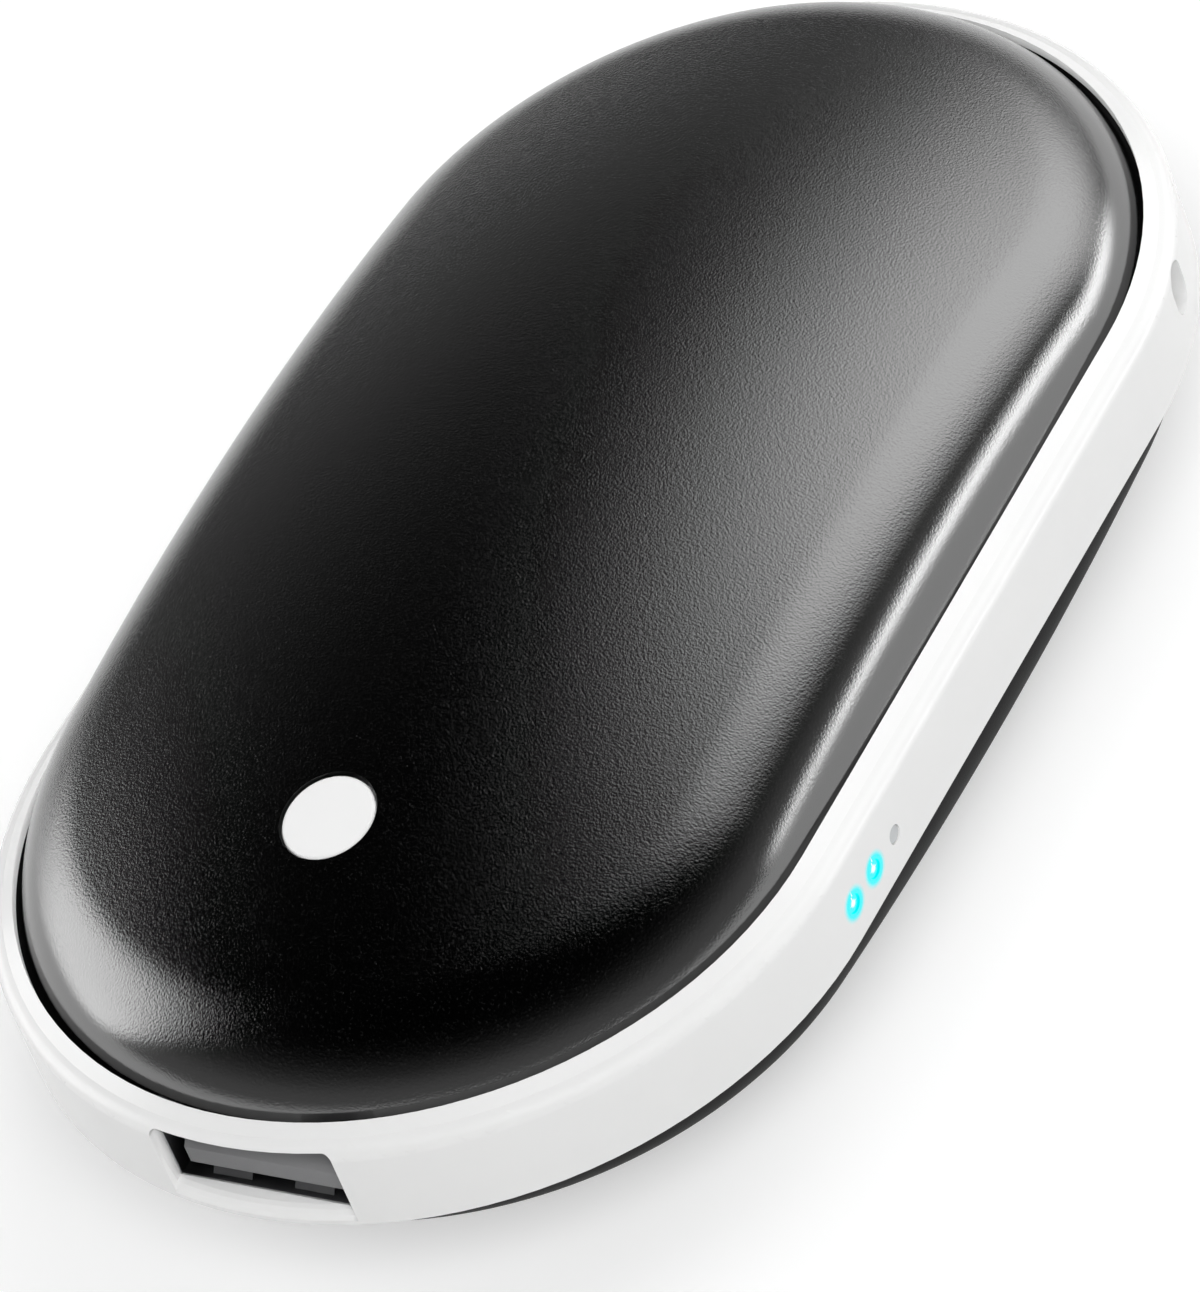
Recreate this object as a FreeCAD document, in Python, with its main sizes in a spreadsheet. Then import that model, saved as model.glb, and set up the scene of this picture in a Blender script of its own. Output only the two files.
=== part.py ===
import FreeCAD, Part
import math
import os
import re
import Sketcher

# A rechargeable hand warmer: two painted metal domes on a white moulded band, with the board, the battery and
# the heater films inside. +Z is up, the USB end is at -Y and the charge lights are on the +X side. The lower
# dome's rest flat is at z = 0, under the middle of the body. Lengths are in millimetres, angles in degrees.
SIZES = {
    # Body: the band's outline is two half circles joined by straight sides
    "body_length": 100.0,
    "body_width": 56.0,
    "band_height": 7.0,
    "lip_width": 1.9,
    "lip_slope_width": 0.92,
    "lip_slope_drop": 0.57,
    "lip_crest_drop": 0.9,
    "lip_round": 1.0,
    "ledge_width": 5.1,
    "foot_inset": 0.7,
    # Domes: crowned both ways, with a rolled shoulder to the band. The lower one is the fuller
    "dome_rise": 9.3,
    "cross_drop": 4.32,
    "long_drop": 5.994,
    "shoulder_radius": 7.8,
    "lower_cross_drop": 1.97,
    "lower_long_drop": 4.94,
    "lower_shoulder": 8.4,
    "crown_sweep": 60.0,
    "shell_wall": 0.8,
    "shell_gap": 0.08,
    "seat_gap": 0.05,
    "rest_flat_depth": 0.25,
    # Button and the tact switch under it
    "button_setback": 19.7,
    "button_radius": 3.0,
    "button_gap": 0.12,
    "button_sink": 0.06,
    "button_round": 0.25,
    "button_headroom": 0.15,
    "flange_reach": 0.9,
    "flange_thickness": 0.6,
    "switch_width": 6.0,
    "switch_corner": 0.5,
    "plunger_radius": 1.75,
    "plunger_stand": 0.74,
    "plunger_fit": 0.06,
    "plunger_engagement": 0.8,
    "plunger_room": 0.6,
    "leg_width": 0.7,
    "leg_reach": 0.8,
    "leg_thickness": 0.25,
    # Main board
    "board_thickness": 1.2,
    "board_clearance": 1.4,
    "board_edge": 0.3,
    "board_boss_angle": 45.0,
    # USB-A output socket
    "port_recess": 1.5,
    "usb_offset": 1.0,
    "usb_width": 13.1,
    "usb_height": 5.7,
    "usb_depth": 13.9,
    "usb_wall": 0.3,
    "usb_corner": 0.6,
    "usb_roof_setback": 1.0,
    "usb_fit": 0.1,
    "usb_foot_round": 0.8,
    "usb_tongue_side": 0.7,
    "usb_tongue_thickness": 1.84,
    "usb_tongue_gap": 0.75,
    "usb_tongue_setback": 0.5,
    "usb_block_depth": 4.2,
    "usb_contact_width": 1.0,
    "usb_contact_thickness": 0.2,
    "usb_contact_pitch": 2.33,
    "usb_contact_length": 6.4,
    "usb_finger_width": 2.75,
    "usb_finger_length": 4.2,
    "usb_finger_nose": 0.5,
    "usb_finger_rise": 0.55,
    "usb_finger_place": 2.87,
    # Charging inlet on the far long side
    "inlet_setback": 4.0,
    "inlet_recess": 0.7,
    "inlet_width": 7.5,
    "inlet_height": 2.6,
    "inlet_depth": 5.6,
    "inlet_wall": 0.25,
    "inlet_skew": 0.7,
    "inlet_fit": 0.15,
    "inlet_mouth_width": 9.4,
    "inlet_mouth_height": 4.2,
    "inlet_tongue_width": 3.7,
    "inlet_tongue_thickness": 0.6,
    "inlet_block_depth": 1.6,
    # Charge lights
    "light_pitch": 2.83,
    "light_setback": 3.5,
    "light_drop": 4.5,
    "light_radius": 0.62,
    "light_fit": 0.06,
    "light_inset": 0.1,
    "guide_thickness": 2.2,
    "guide_overhang": 1.4,
    "guide_gap": 0.3,
    "led_length": 1.6,
    "led_width": 1.1,
    "led_height": 0.65,
    # Lanyard slots in the band
    "lanyard_angle": 16.0,
    "lanyard_spread": 28.0,
    "lanyard_slot_width": 2.7,
    "lanyard_slot_height": 3.5,
    "lanyard_slot_drop": 1.25,
    "lanyard_slot_round": 1.2,
    "lanyard_post_depth": 2.0,
    "lanyard_channel": 1.8,
    # Battery tray and the bosses that carry it
    "boss_inset": 1.1,
    "boss_radius": 2.1,
    "tray_gap": 0.4,
    "tray_wall": 1.0,
    "tray_floor": 0.8,
    "tray_corner": 3.0,
    "tray_setback": 18.8,
    "ear_gap": 4.2,
    "ear_setback": 13.2,
    "ear_thickness": 1.5,
    # Battery
    "cell_gap": 0.2,
    "cell_corner": 2.4,
    "cell_edge": 1.0,
    "cell_headroom": 0.4,
    "tape_thickness": 0.4,
    "tape_margin": 3.0,
    "guard_thickness": 0.8,
    "guard_side": 3.1,
    "guard_margin": 1.2,
    "tab_length": 1.8,
    "tab_width": 4.0,
    "tab_thickness": 0.2,
    "tab_place": 8.0,
    # Heater films, pads and sensors
    "film_gap": 0.1,
    "film_thickness": 0.2,
    "film_side": 0.1,
    "film_margin": 2.0,
    "film_setback": 13.0,
    "film_corner": 10.0,
    "pad_gap": 0.2,
    "pad_margin": 1.5,
    "pad_corner": 5.0,
    "sensor_length": 2.0,
    "sensor_width": 1.2,
    "sensor_height": 0.7,
    "sensor_gap": 0.1,
    # Leads
    "battery_lead": 1.2,
    "battery_lead_place": 8.0,
    "battery_lead_rise": 1.9,
    "battery_lead_run": 4.8,
    "heater_lead": 0.9,
    "heater_lead_place": 12.0,
    "heater_lead_gap": 0.15,
    "heater_lead_fall": 2.2,
    "heater_lead_spread": 2.4,
    # Parts on the main board
    "chip_width": 5.0,
    "chip_height": 0.9,
    "coil_width": 5.4,
    "coil_height": 2.4,
    "coil_corner": 1.2,
    "capacitor_length": 2.0,
    "capacitor_width": 1.2,
    "capacitor_height": 1.1,
    "capacitor_pitch": 3.6,
    "transistor_length": 2.9,
    "transistor_width": 1.5,
    "transistor_height": 1.0,
    "parts_setback": 16.0,
    "parts_spread": 10.5,
    # Screws
    "screw_radius": 0.95,
    "screw_fit": 0.05,
    "screw_clearance": 0.2,
    "screw_length": 4.5,
    "screw_head_radius": 1.55,
    "screw_head_height": 0.8,
    "screw_slot_width": 0.5,
    "screw_slot_depth": 0.4,
    # Cuts run past the faces that they open by this much
    "overrun": 2.0,
}

doc = FreeCAD.newDocument("HandWarmer")
sheet = doc.addObject("Spreadsheet::Sheet", "Sizes")
for row, (word, size) in enumerate(SIZES.items(), start=1):
    sheet.set(f"A{row}", word)
    sheet.set(f"B{row}", str(size))
    sheet.setAlias(f"B{row}", word)
doc.recompute()

# Heights and places that several pieces share, as sums of the sheet's words
FOOT = "(dome_rise - rest_flat_depth)"
RIM = f"({FOOT} + band_height)"
MID = f"({FOOT} + band_height / 2)"
SEAT = "((band_height - usb_height) / 2)"
LEDGE_LOW = f"({FOOT} + {SEAT})"
LEDGE_TOP = f"({RIM} - {SEAT})"
BOARD_TOP = f"({LEDGE_TOP} + board_thickness)"
STRAIGHT = "((body_length - body_width) / 2)"
BAND_R = "(body_width / 2)"
RIM_R = "(body_width / 2 - lip_width)"
FOOT_R = "(body_width / 2 - foot_inset)"
LEDGE_R = "(body_width / 2 - ledge_width)"
RIM_END = "(body_length / 2 - lip_width)"
FOOT_END = "(body_length / 2 - foot_inset)"
BOARD_R = f"({RIM_R} - shell_wall - board_clearance)"
BOSS_R = f"({LEDGE_R} - boss_inset)"
TRAY_X = f"({BOSS_R} - boss_radius - tray_gap)"
USB_FACE = "(port_recess - body_length / 2)"
USB_REAR = f"({USB_FACE} + usb_depth)"
USB_LOW = f"({MID} - usb_height / 2)"
USB_TOP = f"({MID} + usb_height / 2)"
USB_FLOOR = f"({USB_LOW} + usb_wall)"
USB_ROOF = f"({USB_TOP} - usb_wall)"
USB_INSIDE = "(usb_width - 2 * usb_wall)"
USB_SIDES = (f"(usb_offset - {USB_INSIDE} / 2)", f"(usb_offset + {USB_INSIDE} / 2)")
BUTTON_Y = "(button_setback - body_length / 2)"
BOARD_REAR = f"({BUTTON_Y} + switch_width / 2 + board_edge)"
TRAY_NEAR = f"({BOARD_REAR} + tray_gap)"
TRAY_FAR = "(body_length / 2 - tray_setback)"
LIGHT_Y = f"(light_setback - {STRAIGHT})"
LIGHT_Z = f"({RIM} - light_drop)"
INLET_Y = f"(inlet_setback - {STRAIGHT})"
ARM_X = f"({TRAY_X} + tray_gap)"
ARM_FAR = f"({LIGHT_Y} + light_pitch + guide_overhang)"
EAR_TOP = f"({LEDGE_TOP} + ear_thickness)"
FILM_INSET = "(shell_wall + film_gap)"
PAD_INSET = f"({FILM_INSET} + film_thickness + pad_gap)"


def formula(text):
    """Turns a sum in the sheet's words into one that the document understands."""
    return re.sub(r"\b[a-z][a-z_]+\b", lambda word: "Sizes." + word[0] if word[0] in SIZES else word[0], text)


def value(text):
    """Gives the present value of a sum in the sheet's words."""
    return float(sheet.evalExpression(formula(text)))


def bind(item, **sums):
    """Ties properties to the sheet, where two underscores in a name stand for a dot."""
    for name, text in sums.items():
        item.setExpression(name.replace("__", "."), formula(text))
    return item


def place(item, x="0", y="0", z="0"):
    return bind(item, Placement__Base__x=x, Placement__Base__y=y, Placement__Base__z=z)


def bow(reach, drop):
    """The radius of an arc that falls by a drop over a reach to each side."""
    return f"(({reach}^2 + {drop}^2) / (2 * {drop}))"


# Each dome's outline, the radii of its crown across and along the body, and its shoulder
UPPER = (RIM_R, bow(RIM_R, "cross_drop"), bow(RIM_END, "long_drop"), "shoulder_radius")
LOWER = (FOOT_R, bow(FOOT_R, "lower_cross_drop"), bow(FOOT_END, "lower_long_drop"), "lower_shoulder")


def crown(x, y, inset, form=UPPER):
    """Height of a dome above its rim at a place, that far inside its outer face."""
    _, across, along, _ = form
    ring = f"({along} - {across} + sqrt(({across} - {inset})^2 - ({x})^2))"
    return f"(dome_rise - {along} + sqrt({ring}^2 - ({y})^2))"


# Battery heights: the cells fill the room between the domes at the tray's far corners
CELL_X = f"({TRAY_X} - tray_wall - cell_gap)"
CELL_FAR = f"({TRAY_FAR} - tray_wall - cell_gap)"
GUARD_Y = f"({TRAY_NEAR} + tray_wall + cell_gap)"
CELL_NEAR = f"({GUARD_Y} + guard_thickness + tab_length)"
CELL_TOP = f"({RIM} + {crown(CELL_X, CELL_FAR, PAD_INSET)} - cell_headroom)"
TRAY_LOW = f"({FOOT} - {crown(TRAY_X, TRAY_FAR, PAD_INSET, LOWER)} + cell_headroom)"
CELL_LOW = f"({TRAY_LOW} + tray_floor)"
CELL_THICK = f"(({CELL_TOP} - {CELL_LOW} - tape_thickness) / 2)"
FILM_NEAR = f"({BUTTON_Y} + button_radius + flange_reach + film_margin)"
FILM_FAR = "(body_length / 2 - film_setback)"
FLANGE_R = "(button_radius + flange_reach)"
FLANGE_EDGE = crown("0", f"{BUTTON_Y} - {FLANGE_R}", "(shell_wall + button_headroom)")
PLUNGER_TOP = f"({RIM} + {FLANGE_EDGE} - flange_thickness)"
SWITCH_TOP = f"({PLUNGER_TOP} - plunger_stand)"


def box(name, x, y, z):
    """A block between a low and a high sum on each axis."""
    block = doc.addObject("Part::Box", name)
    place(block, x[0], y[0], z[0])
    return bind(block, Length=f"{x[1]} - {x[0]}", Width=f"{y[1]} - {y[0]}", Height=f"{z[1]} - {z[0]}")


def around(middle, size):
    """The low and high sums of a size that lies evenly about a middle."""
    return f"({middle} - {size} / 2)", f"({middle} + {size} / 2)"


TURNS = {
    "x": FreeCAD.Rotation(FreeCAD.Vector(0, 1, 0), 90),
    "y": FreeCAD.Rotation(FreeCAD.Vector(1, 0, 0), -90),
    "z": FreeCAD.Rotation(),
}


def rod(name, radius, start, length, axis="z"):
    """A round bar from a start point along an axis."""
    bar = doc.addObject("Part::Cylinder", name)
    bar.Placement = FreeCAD.Placement(FreeCAD.Vector(), TURNS[axis])
    place(bar, *start)
    return bind(bar, Radius=radius, Height=length)


def fuse(name, *pieces):
    joined = doc.addObject("Part::MultiFuse", name)
    joined.Shapes = list(pieces)
    return joined


def cut(name, base, *tools):
    result = doc.addObject("Part::Cut", name)
    result.Base = base
    result.Tool = tools[0] if len(tools) == 1 else fuse(name + "_cutters", *tools)
    return result


def common(name, first, second):
    result = doc.addObject("Part::Common", name)
    result.Base = first
    result.Tool = second
    return result


def group(name, *pieces):
    """Like pieces that stay separate solids in one node."""
    several = doc.addObject("Part::Compound", name)
    several.Links = list(pieces)
    return several


NODES = []


def node(label, item):
    item.Label = label
    NODES.append(item)
    return item


def new_sketch(body, name, plane, **offset):
    """A sketch on one of the body's own planes, moved off it by sums."""
    sketch = body.newObject("Sketcher::SketchObject", name)
    support = [face for face in body.Origin.OriginFeatures if face.Role == plane][0]
    sketch.AttachmentSupport = [(support, "")]
    sketch.MapMode = "FlatFace"
    return bind(sketch, **{f"AttachmentOffset__Base__{axis}": text for axis, text in offset.items()})


def hold(sketch, kind, *where, size):
    """Adds a dimension that follows a sum."""
    index = sketch.addConstraint(Sketcher.Constraint(kind, *where, value(size)))
    sketch.setExpression(f"Constraints[{index}]", formula(size))


def draw_polygon(sketch, points):
    """Draws a closed outline whose corners are pairs of sums."""
    first = sketch.GeometryCount
    corners = [FreeCAD.Vector(value(u), value(v), 0) for u, v in points]
    count = len(points)
    for index in range(count):
        sketch.addGeometry(Part.LineSegment(corners[index], corners[(index + 1) % count]), False)
    for index, (u, v) in enumerate(points):
        here = first + index
        following = first + (index + 1) % count
        sketch.addConstraint(Sketcher.Constraint("Coincident", here, 2, following, 1))
        hold(sketch, "DistanceX", -1, 1, here, 1, size=u)
        hold(sketch, "DistanceY", -1, 1, here, 1, size=v)
    return sketch


def draw_stadium(sketch, radius):
    """Draws two half circles joined by the body's straight sides."""
    half = value(STRAIGHT)
    reach = value(radius)
    up = FreeCAD.Vector(0, 0, 1)
    far_middle = FreeCAD.Vector(0, half, 0)
    near_middle = FreeCAD.Vector(0, -half, 0)
    sideways = FreeCAD.Vector(reach, 0, 0)
    far, left, near, right = range(4)
    sketch.addGeometry(Part.ArcOfCircle(Part.Circle(far_middle, up, reach), 0, math.pi), False)
    sketch.addGeometry(Part.LineSegment(far_middle - sideways, near_middle - sideways), False)
    sketch.addGeometry(Part.ArcOfCircle(Part.Circle(near_middle, up, reach), math.pi, 2 * math.pi), False)
    sketch.addGeometry(Part.LineSegment(near_middle + sideways, far_middle + sideways), False)
    for before, after in ((far, left), (left, near), (near, right), (right, far)):
        sketch.addConstraint(Sketcher.Constraint("Tangent", before, 2, after, 1))
    for arc in (far, near):
        sketch.addConstraint(Sketcher.Constraint("PointOnObject", arc, 3, -2))
    sketch.addConstraint(Sketcher.Constraint("Equal", far, near))
    hold(sketch, "DistanceY", -1, 1, far, 3, size=STRAIGHT)
    hold(sketch, "DistanceY", near, 3, -1, 1, size=STRAIGHT)
    hold(sketch, "Radius", far, size=radius)
    return sketch


def new_body(name):
    return doc.addObject("PartDesign::Body", name)


def pad(body, sketch, length, both_ways=False):
    feature = body.newObject("PartDesign::Pad", sketch.Name + "_pad")
    feature.Profile = sketch
    feature.SideType = "Symmetric" if both_ways else "One side"
    return bind(feature, Length=length)


def must_cut(feature, before):
    """Stops if a cut missed the solid that it was meant to open."""
    doc.recompute()
    if not feature.Shape.isValid() or feature.Shape.Volume >= before.Shape.Volume:
        raise RuntimeError(f"{feature.Name} cut nothing")
    return feature


def round_edges(body, base, edges, radius):
    feature = body.newObject("PartDesign::Fillet", base.Name + "_round")
    feature.Base = (base, edges)
    return bind(feature, Radius=radius)


def stadium_prism(name, radius, low, high):
    body = new_body(name)
    outline = draw_stadium(new_sketch(body, name + "_outline", "XY_Plane", z=low), radius)
    pad(body, outline, f"{high} - {low}")
    return body


def plate(name, x, y, z, corner):
    """A flat piece with its upright edges rounded."""
    body = new_body(name)
    outline = new_sketch(body, name + "_outline", "XY_Plane", z=z[0])
    draw_polygon(outline, [(x[0], y[0]), (x[1], y[0]), (x[1], y[1]), (x[0], y[1])])
    slab = pad(body, outline, f"{z[1]} - {z[0]}")
    doc.recompute()
    upright = [f"Edge{count}" for count, edge in enumerate(slab.Shape.Edges, start=1)
               if edge.BoundBox.ZLength > edge.BoundBox.DiagonalLength / 2]
    round_edges(body, slab, upright, corner)
    return body


def dome(name, form, inset, skirt):
    """A solid dome that far inside a shell's outer face, on a skirt that reaches below its rim."""
    radius, across, along, rolled = form
    body = new_body(name)
    outline = new_sketch(body, name + "_outline", "XY_Plane", z=f"-{rolled}")
    draw_stadium(outline, f"{radius} - {inset}")
    blank = pad(body, outline, f"{rolled} + dome_rise + overrun")

    arch = new_sketch(body, name + "_arch", "XZ_Plane", y=f"dome_rise - {along}")
    arc_radius = f"({across} - {inset})"
    apex = f"({along} - {inset})"
    side = f"({radius} + overrun)"
    spring = f"({apex} - {arc_radius} + sqrt({arc_radius}^2 - {side}^2))"
    reach = value(side)
    lean = math.asin(reach / value(arc_radius))
    middle = FreeCAD.Vector(0, value(f"{apex} - {arc_radius}"), 0)
    circle = Part.Circle(middle, FreeCAD.Vector(0, 0, 1), value(arc_radius))
    right_low = FreeCAD.Vector(reach, value(spring), 0)
    right_top = FreeCAD.Vector(reach, value(f"{apex} + dome_rise + overrun"), 0)
    left_top = FreeCAD.Vector(-reach, right_top.y, 0)
    left_low = FreeCAD.Vector(-reach, right_low.y, 0)
    arch.addGeometry(Part.ArcOfCircle(circle, math.pi / 2 - lean, math.pi / 2 + lean), False)
    arch.addGeometry(Part.LineSegment(left_low, left_top), False)
    arch.addGeometry(Part.LineSegment(left_top, right_top), False)
    arch.addGeometry(Part.LineSegment(right_top, right_low), False)
    for before, before_end, after, after_end in ((0, 2, 1, 1), (1, 2, 2, 1), (2, 2, 3, 1), (3, 2, 0, 1)):
        arch.addConstraint(Sketcher.Constraint("Coincident", before, before_end, after, after_end))
    arch.addConstraint(Sketcher.Constraint("PointOnObject", 0, 3, -2))
    arch.addConstraint(Sketcher.Constraint("Vertical", 1))
    arch.addConstraint(Sketcher.Constraint("Vertical", 3))
    arch.addConstraint(Sketcher.Constraint("Horizontal", 2))
    hold(arch, "Radius", 0, size=arc_radius)
    hold(arch, "DistanceY", -1, 1, 0, 3, size=f"{apex} - {arc_radius}")
    hold(arch, "DistanceX", -1, 1, 3, 1, size=side)
    hold(arch, "DistanceX", 2, 1, -1, 1, size=side)
    hold(arch, "DistanceY", -1, 1, 3, 1, size=f"{apex} + dome_rise + overrun")
    crowned = body.newObject("PartDesign::Groove", name + "_crown")
    crowned.Profile = arch
    crowned.ReferenceAxis = (arch, ["H_Axis"])
    crowned.Midplane = True
    bind(crowned, Angle="crown_sweep")
    must_cut(crowned, blank)

    level = value(f"-{rolled} / 2")
    brow = [f"Edge{count}" for count, edge in enumerate(crowned.Shape.Edges, start=1)
            if edge.BoundBox.ZMin > level]
    shoulder = round_edges(body, crowned, brow, f"{rolled} - {inset}")
    doc.recompute()

    below = new_sketch(body, name + "_below", "XY_Plane", z=f"-({skirt})")
    draw_polygon(below, [
        ("-body_length", "-body_length"),
        ("body_length", "-body_length"),
        ("body_length", "body_length"),
        ("-body_length", "body_length"),
    ])
    trimmed = body.newObject("PartDesign::Pocket", name + "_trim")
    trimmed.Profile = below
    trimmed.Type = "ThroughAll"
    must_cut(trimmed, shoulder)
    if form is LOWER:
        body.Placement = FreeCAD.Placement(FreeCAD.Vector(), FreeCAD.Rotation(FreeCAD.Vector(0, 1, 0), 180))
    return place(body, z=FOOT if form is LOWER else RIM)


# Domes: pressed metal shells whose skirts sit in the band's rabbets
SKIRT = f"({SEAT} - seat_gap)"
OPEN_SKIRT = f"({SEAT} + overrun)"
button_hole = rod("button_hole", "button_radius + button_gap", ("0", BUTTON_Y, RIM), "dome_rise + overrun")
top_shell = cut("top_shell", dome("top_outside", UPPER, "0", SKIRT),
                dome("top_inside", UPPER, "shell_wall", OPEN_SKIRT), button_hole)
node("top_shell", top_shell)

WIDE = ("(-body_length)", "body_length")
rest_cut = box("rest_cut", WIDE, WIDE, ("(-overrun)", "0"))
bottom_shell = cut("bottom_shell", dome("bottom_outside", LOWER, "0", SKIRT),
                   dome("bottom_inside", LOWER, "shell_wall", OPEN_SKIRT), rest_cut)
node("bottom_shell", bottom_shell)


# Middle frame: a moulded band with a sloped lip above, a ledge inside that carries both shells and the board,
# and bosses for the screws
def band_ring():
    section = [
        (LEDGE_R, LEDGE_LOW),
        (LEDGE_R, LEDGE_TOP),
        (f"{RIM_R} + shell_gap", LEDGE_TOP),
        (f"{RIM_R} + shell_gap", RIM),
        (f"{RIM_R} + lip_slope_width", f"{RIM} - lip_slope_drop"),
        (BAND_R, f"{RIM} - lip_crest_drop"),
        (BAND_R, FOOT),
        (f"{FOOT_R} + shell_gap", FOOT),
        (f"{FOOT_R} + shell_gap", LEDGE_LOW),
    ]
    body = new_body("band_ring")
    sides = new_sketch(body, "band_sides", "XZ_Plane")
    draw_polygon(sides, section)
    draw_polygon(sides, [(f"-({u})", v) for u, v in section])
    pad(body, sides, f"2 * {STRAIGHT}", both_ways=True)
    for name, offset, backwards in (("far_end", f"-{STRAIGHT}", False), ("near_end", STRAIGHT, True)):
        profile = draw_polygon(new_sketch(body, name, "XZ_Plane", z=offset), section)
        bend = body.newObject("PartDesign::Revolution", name + "_bend")
        bend.Profile = profile
        bend.ReferenceAxis = (profile, ["V_Axis"])
        bend.Angle = 180
        bend.Reversed = backwards
    doc.recompute()
    ring = body.Tip
    crest = value(f"{RIM} - lip_crest_drop")
    reach = value(BAND_R)
    half = value(STRAIGHT)

    def on_crest(edge):
        """True where an edge runs along the wall's upper corner."""
        flat = edge.BoundBox.ZLength < edge.BoundBox.DiagonalLength / 1000
        middle = edge.valueAt((edge.FirstParameter + edge.LastParameter) / 2)
        beyond = max(abs(middle.y) - half, 0)
        near_wall = abs(math.hypot(middle.x, beyond) - reach) < reach / 1000
        return flat and near_wall and abs(middle.z - crest) < reach / 1000

    edges = [f"Edge{count}" for count, edge in enumerate(ring.Shape.Edges, start=1) if on_crest(edge)]
    round_edges(body, ring, edges, "lip_round")
    return body


def boss_places():
    """Where the bosses stand: four for the tray's ears and two for the board."""
    places = []
    for side in ("-1", "1"):
        places.append((f"{side} * {BOSS_R}", f"({ARM_FAR} + ear_gap + boss_radius)", EAR_TOP))
        places.append((f"{side} * {BOSS_R}", f"({TRAY_FAR} - ear_setback)", EAR_TOP))
        board_x = f"{side} * {BOSS_R} * sin(board_boss_angle)"
        board_y = f"(-{STRAIGHT} - {BOSS_R} * cos(board_boss_angle))"
        places.append((board_x, board_y, BOARD_TOP))
    return places


BOSSES = boss_places()
LIGHTS = [f"({LIGHT_Y} + {step} * light_pitch)" for step in (-1, 0, 1)]


def usb_mouth():
    """The recess in front of the socket, with its upper corners rounded."""
    body = new_body("usb_mouth")
    mouth = new_sketch(body, "usb_mouth_outline", "XZ_Plane", z=f"-({USB_FACE})")
    left, right = USB_SIDES
    draw_polygon(mouth, [(left, USB_FLOOR), (right, USB_FLOOR), (right, USB_ROOF), (left, USB_ROOF)])
    block = pad(body, mouth, "port_recess + overrun")
    doc.recompute()
    top = value(USB_ROOF)
    corners = [f"Edge{count}" for count, edge in enumerate(block.Shape.Edges, start=1)
               if edge.BoundBox.YLength > edge.BoundBox.DiagonalLength / 2
               and abs(edge.BoundBox.ZMin - top) < top / 1000]
    round_edges(body, block, corners, "usb_corner")
    return body


def usb_foot():
    """The cut that rolls the recess's floor over into the band's round end."""
    foot = f"({USB_FLOOR} - usb_foot_round)"
    inner = f"({BAND_R} - usb_foot_round)"
    middle = ("0", f"-{STRAIGHT}", foot)
    roll = doc.addObject("Part::Torus", "usb_foot_roll")
    place(roll, *middle)
    bind(roll, Radius1=inner, Radius2="usb_foot_round")
    core = rod("usb_foot_core", inner, middle, "usb_foot_round")
    blank = rod("usb_foot_blank", f"{BAND_R} + overrun", middle, "usb_foot_round")
    outside = ("(-body_length / 2 - overrun)", USB_FACE)
    front = box("usb_foot_front", USB_SIDES, outside, (foot, USB_FLOOR))
    return common("usb_foot", cut("usb_foot_ring", blank, roll, core), front)


def inlet_mouth():
    """The recess round the charging inlet, on the -X side."""
    inside = f"(inlet_recess - {BAND_R})"
    return box("inlet_mouth", (f"(-{BAND_R} - overrun)", inside), around(INLET_Y, "inlet_mouth_width"),
               around(MID, "inlet_mouth_height"))


def lanyard_slot(name, turn, low):
    """A slot through the band with rounded corners, turned about the middle of the far end."""
    body = new_body(name)
    inside = f"({BAND_R} - lanyard_post_depth - lanyard_channel)"
    opening = new_sketch(body, name + "_opening", "YZ_Plane", z=inside)
    left, right = around("0", "lanyard_slot_width")
    draw_polygon(opening, [(left, "0"), (right, "0"), (right, "lanyard_slot_height"),
                           (left, "lanyard_slot_height")])
    block = pad(body, opening, "lanyard_post_depth + lanyard_channel + overrun")
    doc.recompute()
    lengthwise = [f"Edge{count}" for count, edge in enumerate(block.Shape.Edges, start=1)
                  if edge.BoundBox.XLength > edge.BoundBox.DiagonalLength / 2]
    round_edges(body, block, lengthwise, "lanyard_slot_round")
    upright = FreeCAD.Vector(0, 0, 1)
    body.Placement = FreeCAD.Placement(FreeCAD.Vector(), FreeCAD.Rotation(upright, value(turn)))
    bind(body, Placement__Rotation__Angle=turn)
    return place(body, y=STRAIGHT, z=low)


def lanyard_slots():
    """Two slots in the band and the curved channel that joins them behind a post."""
    low = f"({RIM} - lanyard_slot_drop - lanyard_slot_height)"
    outer = f"({BAND_R} - lanyard_post_depth)"
    sector = rod("lanyard_sector", outer, ("0", STRAIGHT, low), "lanyard_slot_height")
    bind(sector, Angle="lanyard_spread")
    turn = FreeCAD.Rotation(FreeCAD.Vector(0, 0, 1), SIZES["lanyard_angle"])
    sector.Placement = FreeCAD.Placement(FreeCAD.Vector(), turn)
    place(sector, "0", STRAIGHT, low)
    bind(sector, Placement__Rotation__Angle="lanyard_angle")
    core = rod("lanyard_core", f"{outer} - lanyard_channel", ("0", STRAIGHT, low), "lanyard_slot_height")
    slots = [lanyard_slot(f"lanyard_slot_{step}", f"(lanyard_angle + {step} * lanyard_spread)", low)
             for step in (0, 1)]
    return [cut("lanyard_channel", sector, core), *slots]


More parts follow.
